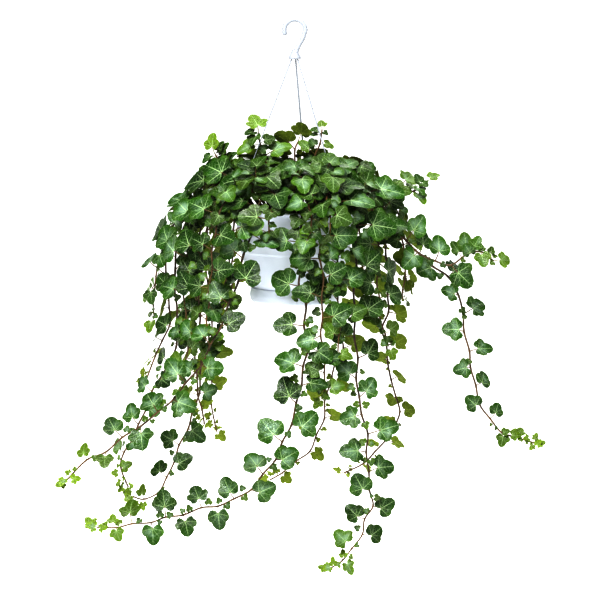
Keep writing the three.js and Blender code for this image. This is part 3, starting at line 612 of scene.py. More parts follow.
def sweep(
    bm: BMesh, frames: Sequence[Matrix], sides: int, material: int = 0,
) -> list[BMVert]:
    """Sweeps a round section through frames and closes both ends.

    Args:
        bm: Mesh that takes the tube.
        frames: Places of the section, from one end to the other.
        sides: Sides of the section.
        material: Material of its faces.

    Returns:
        The vertices of the tube, ring by ring.
    """
    circle = bmesh.ops.create_circle(bm, cap_ends=False, segments=sides, radius=1.0, matrix=frames[0])
    ring = circle["verts"]
    edges = list({edge for vert in ring for edge in vert.link_edges})
    faces = bmesh.ops.edgeloop_fill(bm, edges=edges)["faces"]
    verts = list(ring)
    for before, after in zip(frames, frames[1:]):
        made = bmesh.ops.extrude_edge_only(bm, edges=edges)
        ring, edges = picked(made, BMVert), picked(made, BMEdge)
        faces += picked(made, BMFace)
        bmesh.ops.transform(bm, matrix=after @ before.inverted(), verts=ring)
        verts += ring
    faces += bmesh.ops.edgeloop_fill(bm, edges=edges)["faces"]
    for face in faces:
        face.material_index = material
        face.smooth = True
    bmesh.ops.recalc_face_normals(bm, faces=faces)
    return verts


def turned(bm: BMesh, profile: Iterable[tuple[float, float]], steps: int) -> None:
    """Turns a profile once round the upright axis.

    Args:
        bm: Mesh that takes the solid.
        profile: Points of radius and height in millimetres, from axis to axis or closed on themselves.
        steps: Sides of the round.
    """
    verts = [bm.verts.new((radius * MM, 0.0, height * MM)) for radius, height in profile]
    edges = [bm.edges.new(pair) for pair in zip(verts, verts[1:])]
    bmesh.ops.spin(
        bm, geom=verts + edges, cent=(0, 0, 0), axis=(0, 0, 1), dvec=(0, 0, 0),
        angle=math.tau, steps=steps, use_merge=True, use_duplicate=False,
    )
    bmesh.ops.remove_doubles(bm, verts=bm.verts[:], dist=1e-6)
    bmesh.ops.recalc_face_normals(bm, faces=bm.faces[:])


def arc(
    centre: tuple[float, float], radius: float, start: float, end: float, steps: int,
) -> list[tuple[float, float]]:
    """Points of a round corner in a profile.

    Args:
        centre: Centre of the arc, as radius and height.
        radius: Radius of the corner.
        start: Angle of the first point in degrees, from outwards towards up.
        end: Angle of the last point.
        steps: Stretches of the arc.

    Returns:
        The points.
    """
    angles = (math.radians(mix(start, end, i / steps)) for i in range(steps + 1))
    return [(centre[0] + radius * math.cos(a), centre[1] + radius * math.sin(a)) for a in angles]


def mesh_of(bm: BMesh, name: str) -> Mesh:
    """Takes a finished bmesh into a new mesh."""
    mesh = bpy.data.meshes.new(name)
    bm.to_mesh(mesh)
    bm.free()
    return mesh


def linked(name: str, data: ID) -> Object:
    """Makes an object and puts it in the scene."""
    thing = bpy.data.objects.new(name, data)
    bpy.context.scene.collection.objects.link(thing)
    return thing


def finished(
    bm: BMesh, name: str, materials: Sequence[Material], node: str,
) -> Object:
    """Makes a mesh into a piece of the part.

    Args:
        bm: The mesh, in metres and in place.
        name: Name of the piece.
        materials: Its materials, by the numbers of the faces.
        node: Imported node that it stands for.

    Returns:
        The piece, riding on the part's one body.
    """
    mesh = mesh_of(bm, name)
    for material in materials:
        mesh.materials.append(material)
    piece = linked(name, mesh)
    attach(piece, "root")
    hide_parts(node)
    LOG.info("%s: %d faces", name, len(mesh.polygons))
    return piece


def linear(code: str) -> tuple[float, float, float, float]:
    """Colour of a six-digit screen code as linear light."""
    parts = (int(code[i:i + 2], 16) / 255 for i in (0, 2, 4))
    return (*(c / 12.92 if c <= 0.04045 else ((c + 0.055) / 1.055) ** 2.4 for c in parts), 1.0)


class Graph:
    """Node tree of one material, with short calls for the nodes that the finishes use."""

    def __init__(self, name: str) -> None:
        """Starts a material with a Principled shader."""
        self.material = bpy.data.materials.new(name)
        self.material.use_nodes = True
        self.tree = self.material.node_tree
        self.shader = self.tree.nodes["Principled BSDF"]

    def node(self, kind: str, inputs: dict[str | int, object] | None = None, **settings: object) -> Node:
        """Adds a node.

        Args:
            kind: Blender's name of the node type.
            inputs: Values or sockets for its inputs.
            **settings: Values for its own settings.

        Returns:
            The node.
        """
        made = self.tree.nodes.new(kind)
        for key, value in settings.items():
            setattr(made, key, value)
        for key, value in (inputs or {}).items():
            self.feed(made.inputs[key], value)
        return made

    def feed(self, socket: NodeSocket, value: object) -> None:
        """Links a socket to an input, or sets the input's value."""
        if isinstance(value, NodeSocket):
            self.tree.links.new(value, socket)
        else:
            socket.default_value = value

    def math(self, operation: str, *values: object) -> NodeSocket:
        """Result of a Math node."""
        return self.node("ShaderNodeMath", dict(enumerate(values)), operation=operation).outputs[0]

    def times(self, *values: object) -> NodeSocket:
        """Product of two values."""
        return self.math("MULTIPLY", *values)

    def plus(self, *values: object) -> NodeSocket:
        """Sum of two values."""
        return self.math("ADD", *values)

    def most(self, *values: object) -> NodeSocket:
        """Larger of two values."""
        return self.math("MAXIMUM", *values)

    def ramp(
        self, value: object, low: float, high: float, to_low: float = 0.0, to_high: float = 1.0,
    ) -> NodeSocket:
        """Value taken smoothly from one range to another.

        Args:
            value: The value.
            low: Value at which the ramp starts.
            high: Value at which it ends.
            to_low: Result at the start.
            to_high: Result at the end.

        Returns:
            The result.
        """
        inputs = {"Value": value, "From Min": low, "From Max": high, "To Min": to_low, "To Max": to_high}
        return self.node("ShaderNodeMapRange", inputs, interpolation_type="SMOOTHSTEP").outputs["Result"]

    def blend(self, share: object, first: object, second: object) -> NodeSocket:
        """Colour between two colours.

        Args:
            share: How far it goes towards the second.
            first: First colour.
            second: Second colour.

        Returns:
            The colour.
        """
        made = self.node("ShaderNodeMix", data_type="RGBA")
        colours = [socket for socket in made.inputs if socket.type == "RGBA"]
        self.feed(made.inputs[0], share)
        self.feed(colours[0], first)
        self.feed(colours[1], second)
        return next(socket for socket in made.outputs if socket.type == "RGBA")

    def noise(self, vector: object, scale: float, detail: float = 2.0) -> NodeSocket:
        """Value of a noise pattern."""
        inputs = {"Vector": vector, "Scale": scale, "Detail": detail}
        return self.node("ShaderNodeTexNoise", inputs).outputs[0]

    def place(self) -> NodeSocket:
        """Object coordinates."""
        return self.node("ShaderNodeTexCoord").outputs["Object"]

    def attribute(self, name: str) -> NodeSocket:
        """Value of a mesh attribute."""
        return self.node("ShaderNodeAttribute", attribute_name=name).outputs["Fac"]

    def bump(self, height: object, distance: float, strength: float = 1.0) -> None:
        """Gives the shader a relief, in metres."""
        inputs = {"Height": height, "Distance": distance, "Strength": strength}
        self.feed(self.shader.inputs["Normal"], self.node("ShaderNodeBump", inputs).outputs["Normal"])

    def surface(self, **inputs: object) -> Material:
        """Sets the shader's inputs, named with _ for a space, and gives the material."""
        for key, value in inputs.items():
            self.feed(self.shader.inputs[key.replace("_", " ")], value)
        return self.material


# Grey-green colour of a painted sheen: the look of white light reflected off older leaves, painted into the
# base colour.
PAINTED_SHEEN_COLOUR = "8fa796"
GRIME = "1e120d"
DUST = "c9c8c2"
UNIT_UV = 0.7
UV_ORIGIN = (0.5, 0.25)


@dataclass(frozen=True)
class Vein:
    """One main vein of a blade, which runs straight from the notch on either side, with its side veins.

    Attributes:
        angle: Degrees from the midrib.
        width: Its width by the notch, in blade units.
        length: Where it fades out, in blade units.
        strength: How clearly it shows.
    """

    angle: float
    width: float
    length: float
    strength: float

    def mask(self, graph: Graph, across: object, along: object) -> NodeSocket:
        """Share of vein colour.

        Args:
            graph: Material that takes the nodes.
            across: Distance from the midrib, in blade units.
            along: Height over the notch, in blade units.

        Returns:
            The share, 1 in the vein.
        """
        sine = math.sin(math.radians(self.angle))
        cosine = math.cos(math.radians(self.angle))
        onward = graph.math("MULTIPLY_ADD", across, sine, graph.times(along, cosine))
        beside = graph.math("MULTIPLY_ADD", across, cosine, graph.times(along, -sine))
        beside = graph.math("ABSOLUTE", beside)
        width = graph.ramp(onward, 0.0, self.length, self.width, self.width * 0.4)
        line = graph.ramp(graph.math("DIVIDE", beside, width), 1.0, 0.2)
        step = graph.math("SUBTRACT", onward, graph.times(beside, SIDE_SLOPE))
        gap = graph.math("PINGPONG", graph.times(step, SIDE_COUNT), 0.5)
        rungs = graph.times(graph.ramp(gap, 0.1, 0.02), graph.ramp(beside, 0.2, 0.05, 0.0, 0.6))
        veins = graph.most(line, graph.times(rungs, graph.ramp(step, 0.04, 0.12)))
        faded = graph.times(veins, graph.ramp(onward, self.length, self.length * 0.75))
        started = graph.times(faded, graph.ramp(onward, -0.02, 0.02))
        return graph.times(started, self.strength)


SIDE_SLOPE = 0.8
SIDE_COUNT = 6.0
VEINS = (
    Vein(0.0, 0.034, 1.0, 1.0),
    Vein(36.0, 0.026, 0.66, 0.75),
    Vein(74.0, 0.03, 0.68, 0.9),
    Vein(124.0, 0.024, 0.42, 0.75),
)


@dataclass(frozen=True)
class LeafFinish:
    """Surface of the leaves: full-grown to young colours, paler veins, a waxy gloss and a painted pale sheen.

    Attributes:
        name: Name of the material.
        deep: Colour of the darkest full-grown leaves, also the painted shade of leaves under the crown.
        grown: Colour of other full-grown leaves.
        young: Colour of leaves that have just opened.
        vein: Colour of the veins.
        vein_share: How far the veins take that colour.
        gloss: Roughness of the surface.
        shine: Specular level of the surface.
        painted_sheen: Share of a painted pale sheen, a grey-green highlight, on the middle of older leaves.
        relief: Height of its relief in metres.
    """

    name: str
    deep: str
    grown: str
    young: str
    vein: str
    vein_share: float
    gloss: float
    shine: float
    painted_sheen: float
    relief: float

    def build(self) -> Material:
        """Makes the material."""
        graph = Graph(self.name)
        flat = graph.node("ShaderNodeUVMap", uv_map="leaf").outputs[0]
        place = graph.node("ShaderNodeSeparateXYZ", {"Vector": flat})
        shifted = [graph.math("SUBTRACT", place.outputs[i], UV_ORIGIN[i]) for i in (0, 1)]
        across, along = (graph.math("DIVIDE", value, UNIT_UV) for value in shifted)
        across = graph.math("ABSOLUTE", across)
        veins = self.main_veins(graph, across, along)
        fine = self.fine_veins(graph, across, along)
        # The tint attribute holds a random tone, lowered as painted shade for leaves under the crown.
        tint = graph.attribute("tint")
        patches = graph.noise(graph.place(), 55.0, 3.0)
        share = graph.plus(graph.times(tint, 0.75), graph.ramp(patches, 0.35, 0.7, -0.12, 0.3))
        green = graph.blend(share, linear(self.deep), linear(self.grown))
        rim = graph.ramp(graph.plus(across, graph.times(along, 0.35)), 0.3, 0.75, 0.0, 0.1)
        green = graph.blend(graph.plus(graph.attribute("youth"), rim), green, linear(self.young))
        # Painted sheen: a pale grey-green highlight blended into the middle of older leaves that have a high
        # tint.
        middle = graph.plus(across, graph.math("ABSOLUTE", graph.math("SUBTRACT", along, 0.25)))
        painted_sheen = graph.ramp(tint, 0.35, 0.85, 0.0, self.painted_sheen)
        painted_sheen = graph.times(painted_sheen, graph.ramp(middle, 0.7, 0.1))
        painted_sheen = graph.times(painted_sheen, graph.ramp(graph.noise(graph.place(), 75.0), 0.35, 0.6))
        green = graph.blend(painted_sheen, green, linear(PAINTED_SHEEN_COLOUR))
        halo = graph.ramp(graph.plus(across, graph.math("ABSOLUTE", along)), 0.0, 0.2, 0.4, 0.0)
        shown = graph.most(veins, graph.times(fine, 0.3))
        shown = graph.times(graph.most(shown, halo), self.vein_share)
        colour = graph.blend(shown, green, linear(self.vein))
        grain = graph.noise(graph.place(), 1200.0, 2.0)
        swell = graph.noise(graph.place(), 130.0, 1.0)
        height = graph.math("SUBTRACT", graph.times(swell, 2.0), graph.most(veins, fine))
        height = graph.plus(height, graph.times(grain, 0.08))
        graph.bump(height, self.relief)
        rough = graph.math("MULTIPLY_ADD", grain, 0.3, swell)
        gloss = graph.ramp(rough, 0.3, 0.9, self.gloss - 0.06, self.gloss + 0.1)
        return graph.surface(Base_Color=colour, Roughness=gloss, Specular_IOR_Level=self.shine)

    def main_veins(self, graph: Graph, across: object, along: object) -> NodeSocket:
        """Share of the veins that fan out from the notch."""
        total = VEINS[0].mask(graph, across, along)
        for vein in VEINS[1:]:
            total = graph.most(total, vein.mask(graph, across, along))
        return total

    def fine_veins(self, graph: Graph, across: object, along: object) -> NodeSocket:
        """Share of the fine net between the veins."""
        point = graph.node("ShaderNodeCombineXYZ", {0: across, 1: along}).outputs[0]
        net = graph.node("ShaderNodeTexVoronoi", {"Vector": point, "Scale": 12.0}, feature="DISTANCE_TO_EDGE")
        return graph.ramp(net.outputs["Distance"], 0.07, 0.0)


@dataclass(frozen=True)
class BarkFinish:
    """Surface of stems or leaf stalks, from old to young."""

    name: str
    old: str
    young: str

    def build(self) -> Material:
        """Makes the material."""
        graph = Graph(self.name)
        streaks = graph.noise(graph.place(), 420.0, 3.0)
        patches = graph.noise(graph.place(), 70.0, 2.0)
        age = graph.plus(graph.attribute("youth"), graph.ramp(patches, 0.35, 0.75, -0.2, 0.35))
        colour = graph.blend(graph.times(age, 0.9), linear(self.old), linear(self.young))
        shaded = graph.blend(graph.ramp(streaks, 0.45, 0.75, 0.0, 0.35), colour, linear(GRIME))
        graph.bump(streaks, 0.0003)
        return graph.surface(Base_Color=shaded, Roughness=graph.ramp(streaks, 0.2, 0.8, 0.45, 0.65))


@dataclass(frozen=True)
class PlasticFinish:
    """Moulded white plastic with a satin skin."""

    name: str
    colour: str
    shade: str
    gloss: float

    def build(self) -> Material:
        """Makes the material."""
        graph = Graph(self.name)
        cloud = graph.noise(graph.place(), 14.0, 2.0)
        skin = graph.noise(graph.place(), 1400.0, 2.0)
        dust = graph.noise(graph.place(), 240.0, 4.0)
        colour = graph.blend(graph.ramp(cloud, 0.35, 0.7), linear(self.colour), linear(self.shade))
        colour = graph.blend(graph.ramp(dust, 0.66, 0.8, 0.0, 0.25), colour, linear(DUST))
        graph.bump(graph.plus(skin, graph.times(cloud, 2.0)), 0.00008)
        gloss = graph.ramp(skin, 0.3, 0.7, self.gloss - 0.05, self.gloss + 0.08)
        return graph.surface(Base_Color=colour, Roughness=gloss)


@dataclass(frozen=True)
class SoilFinish:
    """Dark potting soil with pale crumbs."""

    name: str
    dark: str
    dry: str
    crumb: str

    def build(self) -> Material:
        """Makes the material."""
        graph = Graph(self.name)
        lumps = graph.noise(graph.place(), 180.0, 6.0)
        fibres = graph.noise(graph.place(), 700.0, 4.0)
        crumbs = graph.node("ShaderNodeTexVoronoi", {"Vector": graph.place(), "Scale": 160.0})
        colour = graph.blend(graph.ramp(fibres, 0.45, 0.7), linear(self.dark), linear(self.dry))
        pale = graph.ramp(crumbs.outputs["Distance"], 0.16, 0.1)
        colour = graph.blend(graph.times(pale, graph.ramp(lumps, 0.5, 0.6)), colour, linear(self.crumb))
        graph.bump(graph.plus(lumps, graph.times(fibres, 0.4)), 0.003)
        return graph.surface(Base_Color=colour, Roughness=0.95)


LOBED_HALF = (
    (0.13, -0.17), (0.31, -0.235), (0.45, -0.13), (0.5, -0.01), (0.61, 0.08), (0.62, 0.22),
    (0.5, 0.33), (0.375, 0.41), (0.33, 0.58), (0.22, 0.79), (0.0, 0.95),
)
ROUND_HALF = (
    (0.11, -0.14), (0.27, -0.235), (0.44, -0.2), (0.56, -0.07), (0.62, 0.09), (0.62, 0.26),
    (0.54, 0.41), (0.45, 0.5), (0.37, 0.66), (0.21, 0.82), (0.0, 0.89),
)
SINUSES = (3, 7)
BLADE_RINGS = (0.62, 0.0)
SOFT_FOLD = 0.07
EDGE_ROLL = 0.04
HALF_THICKNESS = 0.34
BLADE_KINDS = 7
ROUNDEST = 0.85
LOBING = (0.03, 0.14)
SPREAD = (-0.05, 0.05)
JITTER = (-0.02, 0.02)
WAVE = (0.015, 0.045)
CURL = (-0.5, 1.0)
FOLD = (-0.05, 0.14)
WAVES = 5
BLADE_MIDDLE = 0.25
# Painted shade: leaves near the axis and below the top of the crown get a lower tint, so they are darker
# green.
INNER_RADIUS = 95.0
INNER_FADE = 50.0
INNER_TOP = -215.0
INNER_DEPTH = 40.0
CANOPY_SHADE_TINT = 0.3

STEM_SIDES = 6
STEM_STEPS = 5
NODE_SWELL = 1.25
STALK_SIDES = 5
STALK_STATIONS = 6
STALK_RADII = (0.85, 0.55)
STALK_BULGE = 0.07


class BladeMould:
    """One kind of blade: flat, lobed, one unit long and closed all round."""

    def __init__(self, seed: int) -> None:
        """Makes the mould.

        Args:
            seed: Number that the depth of its lobes is drawn from.
        """
        draws = Draws(seed * 77 + 5)
        roundness = ROUNDEST * clamp((seed + 0.5 * draws.next()) / (BLADE_KINDS - 1))
        lobing = draws.between(*LOBING)
        spread = draws.between(*SPREAD)
        right = []
        left = []
        for side, points in ((1, right), (-1, left)):
            for i, (lobed, full) in enumerate(zip(LOBED_HALF, ROUND_HALF)):
                across, along = (mix(a, b, roundness) for a, b in zip(lobed, full))
                pull = 1 - lobing if i in SINUSES else 1 + spread * across
                across = across * pull + draws.between(*JITTER) * (across > 0)
                points.append(Vector((side * across, along * pull + draws.between(*JITTER), 0.0)))
        bm = bmesh.new()
        add_layers(bm)
        chain = [bm.verts.new(point) for point in right + left[-2::-1]]
        edges = [bm.edges.new(pair) for pair in zip(chain, chain[1:])]
        reach = 1.0
        for ring in BLADE_RINGS:
            made = bmesh.ops.extrude_edge_only(bm, edges=edges)
            verts, edges = picked(made, BMVert), picked(made, BMEdge)
            bmesh.ops.scale(bm, verts=verts, vec=(ring / reach,) * 3)
            reach = ring or 1.0
        bmesh.ops.pointmerge(bm, verts=verts, merge_co=(0.0, 0.0, 0.0))
        border = [edge for edge in bm.edges if edge.is_boundary]
        rim = {vert for edge in border for vert in edge.verts}
        for vert in bm.verts:
            vert.co.z = 0.0 if vert in rim else 1.0
        for edge in border:
            edge.smooth = False
        sheet = list(bm.faces)
        if sum(face.normal.z for face in sheet) < 0:
            bmesh.ops.reverse_faces(bm, faces=sheet)
        under = bmesh.ops.duplicate(bm, geom=list(bm.verts) + list(bm.edges) + sheet)
        below = picked(under, BMFace)
        bmesh.ops.reverse_faces(bm, faces=below)
        bmesh.ops.scale(bm, verts=picked(under, BMVert), vec=(1.0, 1.0, -1.0))
        for face in below:
            face.material_index = 1
        bmesh.ops.remove_doubles(bm, verts=list(bm.verts), dist=1e-5)
        place = bm.loops.layers.uv["leaf"]
        for face in bm.faces:
            face.smooth = True
            for loop in face.loops:
                across, along, _ = loop.vert.co
                loop[place].uv = (UV_ORIGIN[0] + UNIT_UV * across, UV_ORIGIN[1] + UNIT_UV * along)
        self.mesh = mesh_of(bm, f"blade_{seed}")

    def stamp(self, bm: BMesh, leaf: Leaf) -> None:
        """Adds the blade to a mesh in its place, folded, drooped and waved.

        Args:
            bm: Mesh that takes it.
            leaf: Its place.
        """
        draws = Draws(leaf.seed + 7)
        wave = draws.between(*WAVE)
        phase = draws.between(0, math.tau)
        curl = draws.between(*CURL) * EDGE_ROLL
        # Painted shade: the tint of leaves near the axis and under the top of the crown is lowered, making
        # them darker where the canopy shades them.
        inner = clamp((INNER_RADIUS - leaf.notch.xy.length) / INNER_FADE)
        inner *= clamp((INNER_TOP - leaf.notch.z) / INNER_DEPTH)
        tint = draws.next() * mix(1.0, CANOPY_SHADE_TINT, inner)
        fold = draws.between(*FOLD)
        start = len(bm.verts)
        bm.from_mesh(self.mesh)
        bm.verts.ensure_lookup_table()
        youth_layer, tint_layer = (bm.verts.layers.float[name] for name in ("youth", "tint"))
        for vert in bm.verts[start:]:
            across, along, lift = vert.co
            outward = math.hypot(across, along - BLADE_MIDDLE) / 0.6
            turn = WAVES * math.atan2(across, along + 0.1) + phase
            ripple = wave * outward * math.sin(turn) - curl * outward ** 3
            soft = math.hypot(across, SOFT_FOLD) - SOFT_FOLD - abs(across)
            form = ripple + BLADE_FOLD * soft + fold * (soft + abs(across))
            height = leaf.size * form + lift * HALF_THICKNESS
            vert.co = leaf.at(across, along, height) * MM
            vert[youth_layer] = leaf.youth
            vert[tint_layer] = tint


def add_layers(bm: BMesh) -> None:
    """Gives a mesh the layers that the foliage finishes read."""
    bm.loops.layers.uv.new("leaf")
    bm.verts.layers.float.new("youth")
    bm.verts.layers.float.new("tint")


class Thicket:
    """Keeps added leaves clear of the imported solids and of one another."""

    CLEARANCE = 1.5

    def __init__(self, nodes: Iterable[Object]) -> None:
        """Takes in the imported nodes."""
        places = []
        faces = []
        for node in nodes:
            base = len(places)
            places += [vertex.co / MM for vertex in node.data.vertices]
            faces += [[base + i for i in polygon.vertices] for polygon in node.data.polygons]
        self.solids = BVHTree.FromPolygons(places, faces)
        self.added: list[tuple[Vector, float, BVHTree]] = []

    def close(self, form: BVHTree, probes: Iterable[Vector]) -> bool:
        """Tells whether any of some points is too close to a form."""
        return any(form.find_nearest(probe)[3] < self.CLEARANCE for probe in probes)

    def admits(self, leaf: Leaf) -> bool:
        """Tells whether a leaf has room, and remembers it if so."""
        outline = [leaf.at(x, y) for x, y in PLAIN_OUTLINE]
        middle = leaf.at(0, 0.4)
        start = leaf.point.lerp(leaf.notch, 0.45)
        probes = outline + [middle, leaf.notch, start] + [point.lerp(middle, 0.5) for point in outline]
        if self.close(self.solids, probes):
            return False
        places = [leaf.notch, *outline, start, start + leaf.right]
        count = len(outline)
        faces = [(0, i, i + 1) for i in range(1, count)] + [(0, count + 1, count + 2)]
        form = BVHTree.FromPolygons(places, faces)
        if self.solids.overlap(form):
            return False
        for centre, reach, other in self.added:
            near = (centre - middle).length <= reach + leaf.size
            if near and (other.overlap(form) or self.close(other, probes)):
                return False
        self.added.append((middle, leaf.size, form))
        return True


@dataclass
class Foliage:
    """One rooted stem with its stalks and blades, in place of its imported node.

    Attributes:
        line: Course of the stem.
        leaves: Its leaves, packed and added.
        moulds: Kinds of blade.
        finishes: Materials of the upper side, the underside, the stalks and the stem.
    """

    line: StemLine
    leaves: list[Leaf]
    moulds: Sequence[BladeMould]
    finishes: Sequence[Material]

    def build(self) -> Object:
        """Makes the piece."""
        bm = bmesh.new()
        add_layers(bm)
        self.add_stem(bm)
        for leaf in self.leaves:
            self.add_stalk(bm, leaf)
        for leaf in self.leaves:
            self.mould_of(leaf).stamp(bm, leaf)
        name = self.line.plan.name
        return finished(bm, f"{name}_foliage", self.finishes, name)

    def mould_of(self, leaf: Leaf) -> BladeMould:
        """Kind of blade of a leaf: the older, the rounder."""
        age = clamp(1 - leaf.youth - 0.35 * Draws(leaf.seed + 3).next())
        return self.moulds[round(age * (len(self.moulds) - 1))]

    def add_stem(self, bm: BMesh) -> None:
        """Sweeps the stem, a little thicker at its leaf nodes."""
        course = smooth_course(self.line.places(), STEM_STEPS)
        radii = []
        for i in range(len(course)):
            share = i / (len(course) - 1)
            swell = NODE_SWELL if i % STEM_STEPS == 0 and 2 * STEM_STEPS < i < len(course) - 1 else 1.0
            radii.append(mix(STEM_RADIUS_ROOT, STEM_RADIUS_TIP, share) * swell)
        verts = sweep(bm, frames_along(course, radii), STEM_SIDES, 3)
        base = Draws(self.line.number * 31 + 3).between(0.0, 0.35)
        youth_layer = bm.verts.layers.float["youth"]
        for i, vert in enumerate(verts):
            share = i / len(verts)
            vert[youth_layer] = base + (1 - base) * share * share

    def add_stalk(self, bm: BMesh, leaf: Leaf) -> None:
        """Sweeps a slender stalk from the stem into the notch of a blade."""
        span = (leaf.notch - leaf.point).length
        inward = leaf.notch + leaf.tip * (leaf.size * 0.06) - leaf.normal * 0.2
        first = leaf.point.lerp(leaf.notch, 0.4) + leaf.normal * (STALK_BULGE * span)
        second = leaf.notch - leaf.tip * (0.22 * span * max(leaf.reach, 0.0)) - leaf.normal * 0.4
        course = []
        for i in range(STALK_STATIONS):
            t = i / (STALK_STATIONS - 1)
            s = 1 - t
            bend = first * (3 * s * s * t) + second * (3 * s * t * t)
            course.append(leaf.point * s ** 3 + bend + inward * t ** 3)
        slim = clamp(leaf.size / 30, 0.55, 1.0)
        radii = [mix(*STALK_RADII, i / (STALK_STATIONS - 1)) * slim for i in range(STALK_STATIONS)]
        verts = sweep(bm, frames_along(course, radii), STALK_SIDES, 2)
        youth_layer = bm.verts.layers.float["youth"]
        for vert in verts:
            vert[youth_layer] = leaf.youth


def added_leaves(line: StemLine, packed: dict[int, Leaf], thicket: Thicket) -> list[Leaf]:
    """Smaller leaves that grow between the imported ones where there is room.

    Args:
        line: The stem.
        packed: Its packed leaves.
        thicket: What they have to stay clear of.

    Returns:
        The added leaves.
    """
    draws = Draws(line.number * 503 + 11)
    wanted = [(line.nodes[i], LOST_SIZE) for i in range(len(line.nodes)) if i not in packed]
    for distance, after in zip(line.nodes, line.nodes[1:]):
        crown = line.crown_at(distance)
        gap = after - distance
        place = distance + draws.between(*MID_PLACE) * gap
        wanted.append((place, mix(MID_SIZE_HANGING, draws.between(*MID_SIZE_CROWN), crown)))
        for _ in range(FILL_CROWN if crown > FULL_CROWN else 1):
            place = distance + draws.between(*FILL_PLACE) * gap
            wanted.append((place, mix(FILL_SIZE_HANGING, draws.between(*FILL_SIZE_CROWN), crown)))
    ample = 1.0 if line.total > LONG_STEM else line.crown_at(line.total)
    wanted += [(line.total - reach, mix(*SHOOT_SIZE, ample)) for reach in SHOOT_REACHES]
    if line.plan.name in FULL_ENDS:
        wanted += [(line.total - reach, draws.between(*FULL_SIZE)) for reach in FULL_REACHES]
    added = []
    for distance, scale in wanted:
        hand = 1 if draws.next() < 0.5 else -1
        for attempt in range(SIDE_TRIES):
            size = scale * (1 - SIDE_SHRINK * attempt)
            leaf = line.side_leaf(distance, hand, size, int(draws.next() * 1e6))
            if thicket.admits(leaf):
                added.append(leaf)
                break
    return added


@dataclass(frozen=True)
class Sizes:
    """Sizes of the pot, the saucer, the soil and the hanger, in millimetres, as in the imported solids."""

    rim_top: float = -274.0
    rim_radius: float = 95.0
    rim_thickness: float = 3.5
    neck_radius: float = 88.4
    pot_wall: float = 2.2
    belly: tuple[tuple[float, float], ...] = ((82.0, -337.0), (69.5, -375.0), (63.2, -391.0))
    foot_radius: float = 58.0
    foot_corner: float = 4.0
    saucer_base: float = -414.0
    saucer_top: float = -391.0
    saucer_radius: float = 67.5
    saucer_wall: float = 1.9
    seat_gap: float = 0.3
    strand_azimuths: tuple[float, ...] = (-72.0, 48.0, 168.0)
    strand_radius: float = 91.0
    slot: tuple[float, float] = (2.4, 5.2)


SIZES = Sizes()
ROUND_STEPS = 96


@dataclass
class Pot:
    """White plastic pot with a flat flange, a faint collar line, clip slots and drain holes."""

    finish: PlasticFinish
    collar: float = -337.0
    drain_circle: float = 38.0
    drain_radius: float = 4.0
    drain_holes: int = 4

    def profile(self) -> list[tuple[float, float]]:
        """Section of the pot from the axis below round to the axis above."""
        s = SIZES
        base = s.saucer_base + s.saucer_wall + s.seat_gap
        floor = base + s.pot_wall
        lip = s.rim_top - s.rim_thickness
        outer = [
            (0.0, base), (40.0, base),
            *arc((s.foot_radius, base + s.foot_corner), s.foot_corner, -90, -20, 4),
            (63.2, -391.0), (66.3, -383.5), (69.5, -375.0), (75.4, -357.0), (80.9, self.collar - 2.2),
            (81.3, self.collar - 0.8), (82.3, self.collar), (82.9, self.collar + 2.2), (85.4, -312.0),
            (87.6, -290.0), (s.neck_radius - 0.6, lip - 2.0), (s.neck_radius + 0.8, lip),
        ]
        edge = s.rim_thickness / 2 - 0.1
        flange = [
            (s.rim_radius - edge, lip), *arc((s.rim_radius - edge, s.rim_top - edge), edge, -70, 70, 5),
            (s.rim_radius - edge, s.rim_top), (s.neck_radius + 1.5, s.rim_top),
            (s.neck_radius - 1.6, s.rim_top - 1.0),
        ]
        inner = [
            (s.neck_radius - s.pot_wall, s.rim_top - 3.0), (84.0, -305.0), (82.0 - s.pot_wall, -337.0),
            (69.5 - s.pot_wall, -375.0), (63.2 - s.pot_wall, -391.0), (s.foot_radius, floor + 1.2),
            (s.foot_radius - 2.0, floor), (0.0, floor),
        ]
        return outer + flange + inner

    def build(self) -> Object:
        """Makes the piece."""
        s = SIZES
        bm = bmesh.new()
        turned(bm, self.profile(), ROUND_STEPS)
        piece = finished(bm, "pot_shell", [self.finish.build()], "pot")
        cutters = bmesh.new()
        depth, width = s.slot
        for azimuth in s.strand_azimuths:
            turn = Matrix.Rotation(math.radians(azimuth), 4, "Z")
            place = turn @ Matrix.Translation(Vector((0.0, -s.strand_radius, s.rim_top)) * MM)
            size = Matrix.Diagonal((width * MM, depth * MM, 0.02, 1.0))
            bmesh.ops.create_cube(cutters, size=1.0, matrix=place @ size)
        for i in range(self.drain_holes):
            place = around(self.drain_circle, 360 * (i + 0.5) / self.drain_holes, s.saucer_base + 4.0)
            add_drill(cutters, self.drain_radius, 0.02, 24, Matrix.Translation(place * MM))
        return carved(piece, cutters)


def crease(bm: BMesh, angle: float) -> None:
    """Smooths the faces of a mesh, but keeps its edges sharp that turn by more than an angle in degrees."""
    for face in bm.faces:
        face.smooth = True
    for edge in bm.edges:
        if edge.is_manifold and edge.calc_face_angle(0.0) > math.radians(angle):
            edge.smooth = False


def add_drill(bm: BMesh, radius: float, depth: float, sides: int, place: Matrix) -> None:
    """Adds a round bar that cuts a hole.

    Args:
        bm: Mesh that takes it.
        radius: Its radius in millimetres.
        depth: Its length in metres.
        sides: Its number of sides.
        place: Its place, in metres.
    """
    reach = radius * MM
    bmesh.ops.create_cone(
        bm, cap_ends=True, segments=sides, radius1=reach, radius2=reach, depth=depth, matrix=place,
    )


